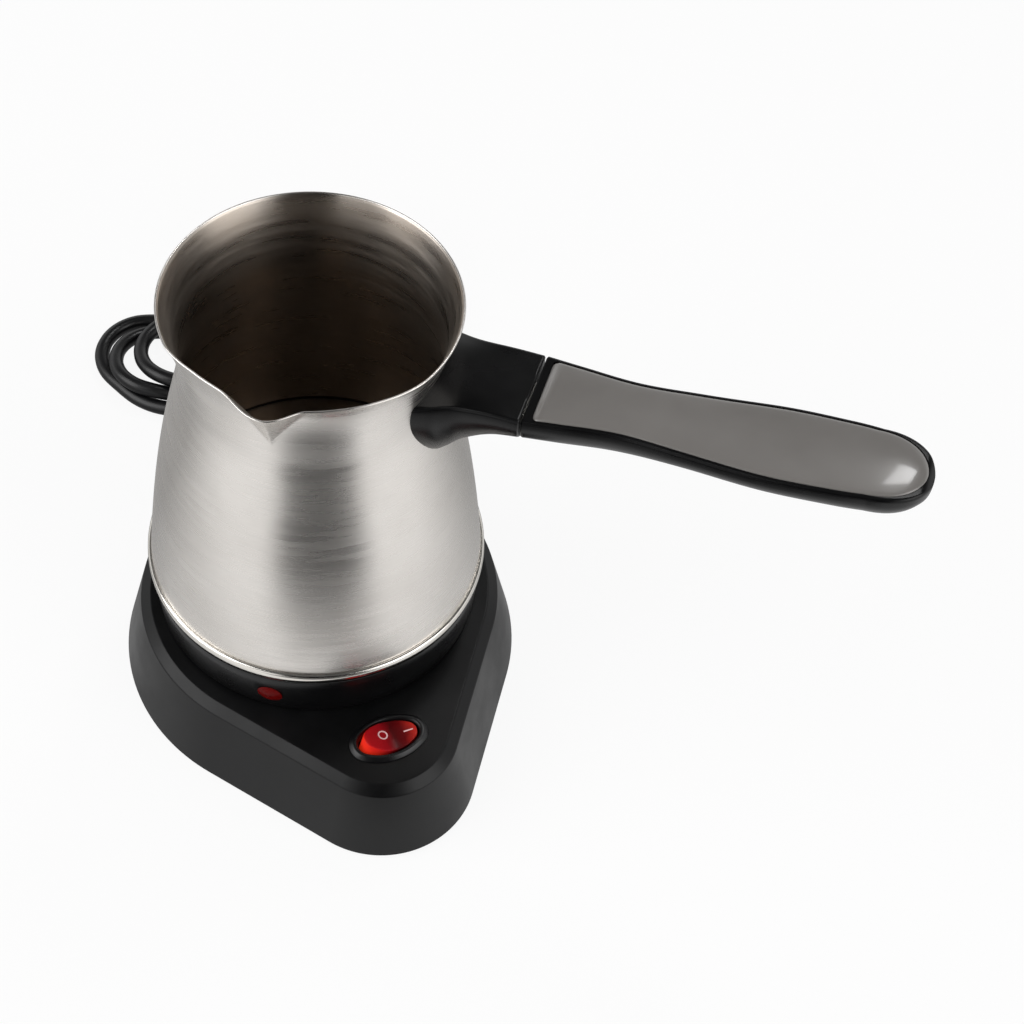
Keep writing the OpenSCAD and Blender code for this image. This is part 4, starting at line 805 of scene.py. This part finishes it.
def add_base():
    bevel_z = TOP_Z - BEVEL_H
    profile = rounded(
        [(inside_at(ROOF_Z) + 4, ROOF_Z), (inside_at(ROOF_Z), ROOF_Z), (inside_at(EDGE_Z), EDGE_Z),
         (0.0, EDGE_Z), (WALL_LEAN, bevel_z), (WALL_LEAN + BEVEL_W, TOP_Z),
         (WALL_LEAN + BEVEL_W + 4, TOP_Z)],
        [0, 1.2, 0.3, 0.5, 1.1, 0.9, 0], 5)
    verts, faces = loft([tear_outline(inset, z) for inset, z in profile])
    base = add_piece("base_casing", verts, faces)
    boss = add_piece("boss_hole", *cylinder_mesh((0, 0), BOSS_R + 0.4, 20, 40, 96))
    hole = [[tuple(switch_frame(*p))
             for p in flat_ring(stadium_half, CASE_L + 0.3, CASE_W + 0.3, z)] for z in (-9, 9)]
    switch = add_piece("switch_hole", *loft(hole))
    sides = 48
    rings = [[tuple(base_frame(x, EXIT_R * math.cos(TAU * k / sides),
                               EXIT_Z + EXIT_R * math.sin(TAU * k / sides)))
              for k in range(sides)] for x in (-66, -50)]
    exit_hole = add_piece("exit_hole", *loft(rings))
    cut(base, [boss, switch, exit_hole])
    even_normals(base)
    return dress(base, BLACK_BASE, "base", ("base_housing",))


def add_switch_case():
    """The switch's case: a softly rounded oval bezel round the rocker's opening."""
    rows = rounded(
        [(0.0, 0.0), (0.0, 0.45), (0.42, BEZEL_UP), (0.78, BEZEL_UP), (0.97, BEZEL_UP - 0.7),
         (1.0, -CASE_H + 1.2)],
        [0, 0.3, 0.35, 0.2, 0.15, 0], 5)
    rings = []
    for share, z in rows:
        size = (BEZEL_L + (OPENING_L - BEZEL_L) * share, BEZEL_W + (OPENING_W - BEZEL_W) * share)
        rings.append([tuple(switch_frame(*p)) for p in flat_ring(oval_half, *size, z)])
    low = [[tuple(switch_frame(*p)) for p in flat_ring(stadium_half, *size, z)]
           for size, z in (((CASE_L, CASE_W), 0.0), ((CASE_L, CASE_W), -CASE_H),
                           ((CASE_L - 2, CASE_W - 2), -CASE_H))]
    verts, faces = loft(low[::-1] + rings)
    case = add_piece("switch_bezel", verts, faces)
    return dress(case, BEZEL_BLACK, "base", ("switch_case",))


def rocker_top(y):
    """Height of the rocker's top before it tilts: a soft V between its raised ends."""
    slope = math.tan(math.radians(ROCK / 2))
    soft = 2.0
    return ROCKER_MID_H + slope * (math.sqrt(y * y + soft * soft) - soft * 0.6)


def tilted(x, y, z):
    """The rocker's rest pose, with its +Y end pressed down."""
    a = math.radians(-ROCK / 2)
    z -= PIVOT_Z
    return x, y * math.cos(a) - z * math.sin(a), y * math.sin(a) + z * math.cos(a) + PIVOT_Z


def add_rocker():
    """Rows of cross-sections along the rocker's length, closed at its round ends."""
    end_r = ROCKER_L / 2 + 0.2
    rings = []
    for k in range(61):
        y = ROCKER_L / 2 * math.sin(math.pi * (k / 60 - 0.5))
        w = max(oval_half(ROCKER_L, ROCKER_W, y), 0.03)
        top = rocker_top(y)
        soft = min(0.5, w * 0.6)
        ring = rounded([(0.0, -3.6), (w, -3.6), (w, top), (0.0, top)], [0, 0.3, soft, 0], 6)
        ring += [(-x, z) for x, z in reversed(ring[1:-1])]
        row = []
        for x, z in ring:
            reach = math.sqrt(max(end_r * end_r - (z - PIVOT_Z) ** 2, 0.01))
            yy = y * min(reach / (ROCKER_L / 2), 1.0)
            row.append(tuple(switch_frame(*tilted(x, yy, z))))
        rings.append(row)
    verts, faces = loft(rings)
    rocker = add_piece("rocker_cap", verts, faces, 50)
    return dress(rocker, RED_ROCKER, "rocker", ("rocker",))


def on_rocker(x, y, lift):
    """A point on the rocker's top, lifted off it."""
    return tuple(switch_frame(*tilted(x, y, rocker_top(y) + lift)))


def mark_strip(name, line):
    """A raised mark along a line of points on the rocker's top, closed if it ends where it
    starts."""
    width, height = 0.42, 0.12
    closed = line[0] == line[-1]
    points = line[:-1] if closed else line
    rings = []
    for i, (x, y) in enumerate(points):
        before = points[i - 1] if closed or i > 0 else points[i]
        after = points[(i + 1) % len(points)] if closed or i < len(points) - 1 else points[i]
        way = Vector((after[0] - before[0], after[1] - before[1])).normalized()
        side = Vector((-way.y, way.x)) * width / 2
        ring = []
        for s, h in ((-1, -0.1), (-0.92, height), (0, height * 1.15), (0.92, height), (1, -0.1)):
            ring.append(on_rocker(x + side.x * s, y + side.y * s, h))
        rings.append(ring)
    verts, faces = loft(rings, closed=closed)
    mark = add_piece(name, verts, faces)
    return dress(mark, MARK_WHITE, "rocker", ())


def add_marks():
    """The generic O and I of a switch."""
    x, y, radius, sides = -0.6, -2.1, 1.3, 40
    circle = [(x + radius * math.cos(TAU * k / sides), y + radius * math.sin(TAU * k / sides))
              for k in range(sides)]
    mark_strip("mark_off", circle + [circle[0]])
    mark_strip("mark_on", [(0.0, 4.2 + 0.28 * k) for k in range(11)])


# ---------- pot ----------


def wall_profile():
    """The wall's outer radius over its height, from the steel ring up to the rim."""
    pull = (RIM_Z - RING_Z) * 0.574
    body = [(BODY_R, RING_TOP_Z), (BODY_R - 0.098 * pull, RING_TOP_Z + pull),
            (NECK_R, NECK_Z - 13), (NECK_R, NECK_Z)]
    rise = RIM_Z - NECK_Z
    flare = [(NECK_R, NECK_Z), (NECK_R, NECK_Z + rise * 0.44),
             (RIM_R - (RIM_R - NECK_R) * 0.4, RIM_Z - rise * 0.16), (RIM_R, RIM_Z)]
    rows = [(BODY_R, RING_Z)] + [bezier(body, k / 48) for k in range(49)]
    return rows + [bezier(flare, k / 40) for k in range(1, 41)]


WALL = wall_profile()
WALL_BY_Z = [(z, r) for r, z in WALL]


def wall_r(z):
    return along_rows(WALL_BY_Z, z)[0]


# the rim's distance from its circle by direction: pulled in on both sides of the lip
RIM_SHIFT = [
    (-136, 0.0), (-131, -0.5), (-126, -1.1), (-121, -1.7), (-116, -2.0), (-110, -2.2),
    (-105, -2.2), (-70, -2.4), (-62, -2.4), (-55, -2.2), (-43, -1.6), (-35, -0.9),
    (-26, -0.2), (-20, 0.0),
]
LIP_OUT, LIP_LEFT, LIP_RIGHT, LIP_DEEP, PULL_DEEP = 4.6, 21.5, 16.0, 16.5, 22.0
RIM_ROWS = catmull(RIM_SHIFT, 6)


def lip_at(angle, z):
    """How far the pouring lip and the pulled-in rim beside it move the wall outwards."""
    down = max(RIM_Z - z, 0.0)
    angle = (angle + 180) % 360 - 180
    out = 0.0
    if down < PULL_DEEP:
        out += along_rows(RIM_ROWS, angle)[0] * (1 - smoothstep(down / PULL_DEEP))
    if down < LIP_DEEP:
        left = 1 - down / LIP_DEEP
        off = angle - LIP_TURN
        width = (LIP_RIGHT if off > 0 else LIP_LEFT) * left
        if abs(off) < width:
            p = 1 - abs(off) / width
            bell = math.sin(math.pi / 2 * p) ** 2
            facet = smoothstep(down / 2.5) if off > 0 else 0.25 * smoothstep(down / 5)
            out += LIP_OUT * left * (bell + (p - bell) * facet)
    return out


def add_pot_wall():
    sides = 360
    half = 0.3
    outer = [(r, z) for r, z in WALL if z < RIM_Z - half - 0.05]
    top = RIM_Z - half
    round_rim = [(RIM_R - half + half * math.cos(a), top + half * math.sin(a))
                 for a in [math.pi * k / 8 for k in range(9)]]
    inner = [(r - 2 * half - (SHEET - 2 * half) * smoothstep((top - z) / 8), z)
             for r, z in reversed(outer)]
    rows = outer + round_rim + inner
    rings = []
    for r, z in rows:
        ring = []
        for k in range(sides):
            # closer together at the lip
            a = 360 * k / sides
            t = (a + 180) % 360 - 180
            a = LIP_TURN + t - 22 * math.sin(math.radians(t)) * math.exp(-(t / 60) ** 2)
            rr = r + lip_at(a, z)
            ring.append((rr * math.cos(math.radians(a)), rr * math.sin(math.radians(a)), z))
        rings.append(ring)
    verts, faces = loft(rings, closed=True)
    pot = add_piece("pot_wall_steel", verts, faces, 60)
    dress(pot, STEEL, "pot", ("pot_wall",))
    pot.data.materials.append(INSIDE)
    for face in pot.data.polygons:
        centre = face.center
        flat = Vector((centre.x, centre.y, 0)).normalized()
        face.material_index = 1 if face.normal.dot(flat) < -0.2 and centre.z < top * MM else 0
    return pot


# ---------- handle ----------

# along the handle from the seam: half width, depth and, on the bracket, the top's fall to its
# edges
BRACKET_ROWS = [
    (0.0, 12.3, 13.0, 0.0), (8.1, 12.3, 16.2, 0.1), (16.0, 12.6, 22.4, 0.9),
    (20.2, 13.4, 27.4, 1.7), (23.6, 14.5, 30.0, 2.5), (30.5, 15.8, 31.0, 3.2),
]
GRIP_ROWS = [
    (0.0, 12.3, 13.0), (10.3, 11.2, 12.9), (25.7, 9.9, 11.9), (43.1, 11.1, 10.4),
    (63.6, 12.8, 10.9), (80.0, 12.6, 11.4), (88.4, 12.0, 11.6), (96.0, 10.9, 11.4),
    (104.0, 9.4, 12.0),
]
# the height of the grip's top, along it from the seam
GRIP_TOP = [
    (0.0, 142.4), (5.6, 142.9), (20.9, 144.1), (35.7, 145.0), (54.5, 146.3), (73.6, 148.2),
    (90.6, 150.0), (102.6, 151.0),
]


def handle_section(half, top, deep, drop=0.0):
    """Flat on top, or falling by a drop to its edges, upright for a little, then a half
    ellipse below."""
    side = min(2.4, deep * 0.4)
    c = min(1.5, half * 0.5, deep * 0.25)
    lower = [(half * math.cos(a), top - side - drop - (deep - side - drop) * math.sin(a))
             for a in [math.pi * k / 28 for k in range(29)]]
    upper = rounded([(-half, top - side), (-half, top), (half, top), (half, top - side)], c, 6)
    flat = [((half - c) * k / 6, top) for k in range(-5, 6)]
    crowned = [(y, z - drop * (y / half) ** 2) for y, z in upper[1:8] + flat + upper[8:-1]]
    return lower + crowned


def bracket_point(j, along):
    half, deep, drop = between(BRACKET_ROWS, along)
    y, z = handle_section(half, HANDLE_TOP_Z, deep, drop)[j]
    return Vector((SEAM_X - along, y, z))


def wall_face(z):
    """The pot's radius where the bracket ends, a little inside the steel's outer face."""
    return wall_r(z) - 0.25


def meets_wall(j):
    """How far along the bracket its line j meets the pot's wall."""
    low, high = 10.0, 32.0
    for _ in range(24):
        mid = (low + high) / 2
        p = bracket_point(j, mid)
        if math.hypot(p.x, p.y) > wall_face(p.z):
            low = mid
        else:
            high = mid
    return low


def add_bracket():
    """From the seam to the pot's wall, where each of its lines ends on the steel."""
    steps, soft = 36, 0.35
    ends = [meets_wall(j) for j in range(len(handle_section(10, 0, 10)))]
    rings = [[tuple(bracket_point(j, end * i / steps)) for j, end in enumerate(ends)]
             for i in range(steps + 1)]
    # a small rounded edge at the seam
    first = [Vector(p) for p in rings[0]]
    middle = Vector((SEAM_X, 0, HANDLE_TOP_Z - 6))
    edge = [tuple(p + (middle - p).normalized() * soft) for p in first]
    rings[0] = [tuple(p - Vector((soft, 0, 0))) for p in first]
    rings.insert(0, edge)
    # the end follows the pot's wall
    last = rings[-1]
    mid_z = sum(p[2] for p in last) / len(last)
    for share in (0.75, 0.5, 0.25, 0.04):
        ring = []
        for p in last:
            y, z = p[1] * share, mid_z + (p[2] - mid_z) * share
            ring.append((math.sqrt(wall_face(z) ** 2 - y * y), y, z))
        rings.append(ring)
    verts, faces = loft(rings)
    bracket = add_piece("handle_bracket_shell", verts, faces, 40)
    hole = add_piece("bolt_hole", *cylinder_mesh((BRACKET_BOLT_X, 0), BOLT_HOLE_R, 100, 130.9, 40))
    cut(bracket, [hole])
    even_normals(bracket)
    return dress(bracket, BLACK_HANDLE, "pot", ("handle_bracket",))


def grip_top(along):
    """Height of the grip's top, with a soft droop of 1 mm over its last stretch."""
    stretch = 19
    past = max((along - (GRIP_L - stretch)) / stretch, 0.0)
    droop = 1 - math.sqrt(max(1 - min(past, 0.98) ** 2, 0.0))
    return between(GRIP_TOP, along)[0] - droop


def nose_share(t, least, power):
    """The share of its size that the handle keeps at t of its rounded nose."""
    return least + (1 - least) * math.sqrt(max(1 - t ** power, 0.0))


def inlay_half(along, grow=0.0):
    """Half width of the inlay: the grip's less its rim, with rounded ends."""
    start, nose_start = INLAY_START - grow, INLAY_END + grow - INLAY_NOSE
    half = between(GRIP_ROWS, min(max(along, start), nose_start))[0] - INLAY_RIM + grow
    if along < start + INLAY_CORNER:
        t = 1 - (max(along, start) - start) / INLAY_CORNER
        half -= INLAY_CORNER * (1 - math.sqrt(max(1 - t * t, 0)))
    if along > nose_start:
        half *= nose_share((along - nose_start) / INLAY_NOSE, 0.0, 2.2)
    return half


def inlay_stations(grow=0.0):
    """Places along the inlay for its rings, closer together at its two ends."""
    start, end = INLAY_START - grow, INLAY_END + grow
    out = [start + INLAY_CORNER * (k / 8) ** 2 for k in range(8)]
    along = start + INLAY_CORNER
    while along < end - INLAY_NOSE:
        out.append(along)
        along += 1.5
    return out + [end - INLAY_NOSE * (1 - math.sin(math.pi / 2 * k / 24)) for k in range(25)]


def grip_stations():
    """Places along the grip for its rings, closer together at the seam and the nose."""
    marks = [SEAM_GAP, SEAM_GAP + 0.35]
    marks += [SEAM_GAP + 1.2 * k for k in range(1, 78)]
    marks += [GRIP_L - NOSE * (1 - math.sin(math.pi / 2 * k / 30)) for k in range(31)]
    return sorted(m for m in set(marks) if m <= GRIP_L)


def grip_ring(along, inset=0.0, lower=0.0):
    half, deep = between(GRIP_ROWS, along)
    nose_start = GRIP_L - NOSE
    if along > nose_start:
        t = (along - nose_start) / NOSE
        half, deep = between(GRIP_ROWS, nose_start)
        half *= nose_share(t, 0.05, 2.25)
        deep *= nose_share(t, 0.14, 2.6)
    top = grip_top(along) - lower
    end = 3.0
    if along > GRIP_L - end:
        top -= 1.3 * ((along - GRIP_L + end) / end) ** 2
    section = handle_section(half - inset, 0.0, deep - inset)
    return [(SEAM_X + along, y, top + z) for y, z in section]


def inlay_pocket():
    """The cutter for the inlay's pocket, with a little play all round."""
    play, deep, up = 0.15, 1.4, 4.0
    rings = []
    for along in inlay_stations(play):
        w = max(inlay_half(along, play), 0.02)
        x, top = SEAM_X + along, grip_top(along)
        rings.append([(x, -w, top - deep), (x, w, top - deep), (x, w, top + up), (x, -w, top + up)])
    return add_piece("pocket", *loft(rings), 10)


def add_grip():
    first, *stations = grip_stations()
    rings = [grip_ring(first, inset=0.35, lower=0.3)]
    rings += [grip_ring(along) for along in stations]
    verts, faces = loft(rings)
    grip = add_piece("grip_shell", verts, faces, 40)
    pocket = inlay_pocket()
    hole = add_piece("grip_bolt_hole", *cylinder_mesh((GRIP_BOLT_X, 0), BOLT_HOLE_R, 100, 133.5, 40))
    cut(grip, [pocket, hole])
    even_normals(grip)
    return dress(grip, BLACK_HANDLE, "pot", ("grip_body",))


def add_inlay():
    """The glossy inlay: a crowned plate with softly rounded edges in the grip's pocket."""
    across = 24
    crown, edge, fade = 0.8, 0.7, 6.0
    top_rows, low_rows = [], []
    for along in inlay_stations():
        w = max(inlay_half(along), 0.02)
        near = min(along - INLAY_START, fade) / fade
        far = min(max(INLAY_END - along, 0.0), fade) / fade
        ends = min(smoothstep(near * 3), math.sqrt(max(1 - (1 - far) ** 2, 0)))
        row = []
        for k in range(across + 1):
            s = math.sin(math.pi / 2 * (2 * k / across - 1))
            inside = (1 - abs(s)) * w
            fall = edge * (1 - math.sqrt(max(1 - max(1 - inside / edge, 0) ** 2, 0)))
            lift = crown * (1 - s * s) * ends + 0.05
            row.append((SEAM_X + along, w * s, grip_top(along) + lift - fall * 0.55
                        - 0.35 * (1 - ends)))
        top_rows.append(row)
        low_rows.append([(SEAM_X + along, p[1], grip_top(along) - 1.3) for p in row])
    rings = [top + low[::-1] for top, low in zip(top_rows, low_rows)]
    verts, faces = loft(rings)
    inlay = add_piece("grip_inlay_plate", verts, faces, 50)
    return dress(inlay, GREY_INLAY, "pot", ("grip_inlay",))


# ---------- the CAD pieces that stay ----------

CAD_FINISH = {
    "base_cover": COVER_BLACK, "foot_ring": RUBBER, "tip_feet": RUBBER,
    "cover_screws": SCREW, "lower_connector": BLACK_BASE, "connector_screws": SCREW,
    "live_spring": BRASS, "neutral_spring": BRASS, "earth_contact": BRASS,
    "switch_terminals": BRASS, "cord_clamp": PALE, "clamp_screws": SCREW,
    "base_wires": WIRE, "strain_relief": CORD_BLACK, "cord_inner": CORD_BLACK,
    "plug_pins": PIN_NICKEL, "contact_sleeve": BRASS, "rocker_plunger": PALE,
    "rocker_lamp": RED_LAMP, "contact_lever": BRASS, "pot_floor": INSIDE_FLOOR,
    "pot_ring": RING_STEEL, "heat_plate": ALUMINIUM, "heating_element": ELEMENT,
    "thermostat": COVER_BLACK, "thermal_fuse": SCREW, "seal_ring": RUBBER,
    "pot_skirt": BLACK_SKIRT, "skirt_screws": SCREW, "upper_connector": BLACK_SKIRT,
    "upper_screws": SCREW, "earth_pin": BRASS, "live_tube": BRASS, "neutral_tube": BRASS,
    "lamp_lens": RED_LENS, "lamp_bulb": RED_LAMP, "pot_wires": WIRE, "handle_plate": STEEL,
    "handle_screws": SCREW,
}
SOFT_EDGES = {
    "pot_ring": 0.25, "pot_skirt": 0.3, "lower_connector": 0.3, "strain_relief": 0.4,
    "foot_ring": 0.3, "tip_feet": 0.4, "upper_connector": 0.2, "plug_pins": 0.1,
}


def finish_cad():
    for name, material in CAD_FINISH.items():
        node = nodes[name]
        node.data.materials.clear()
        node.data.materials.append(material)
        if name in SOFT_EDGES:
            weld = node.modifiers.new("weld", "WELD")
            weld.merge_threshold = 1e-6
            bevel = node.modifiers.new("soft_edges", "BEVEL")
            bevel.width = SOFT_EDGES[name] * MM
            bevel.segments = 2
            bevel.limit_method = "ANGLE"
            bevel.angle_limit = math.radians(40)


def main():
    add_camera()
    lead = add_cord()
    tie = add_tie()
    plug = add_plug()
    add_floor()
    add_world()
    add_stand()
    add_lamp("left_box", (-0.95, -0.65, 0.95), (0, 0, 0.08), (1.2, 1.2), 15)
    add_lamp("right_box", (1.15, -0.3, 0.85), (0, 0, 0.08), (1.0, 1.2), 9)
    add_lamp("back_box", (0.26, 0.84, 1.38), (0.15, 0, 0.15), (0.35, 0.35), 3.5)
    add_base()
    add_switch_case()
    add_rocker()
    add_marks()
    add_pot_wall()
    add_bracket()
    add_grip()
    add_inlay()
    finish_cad()
    bpy.context.scene.view_settings.view_transform = "Standard"


main()
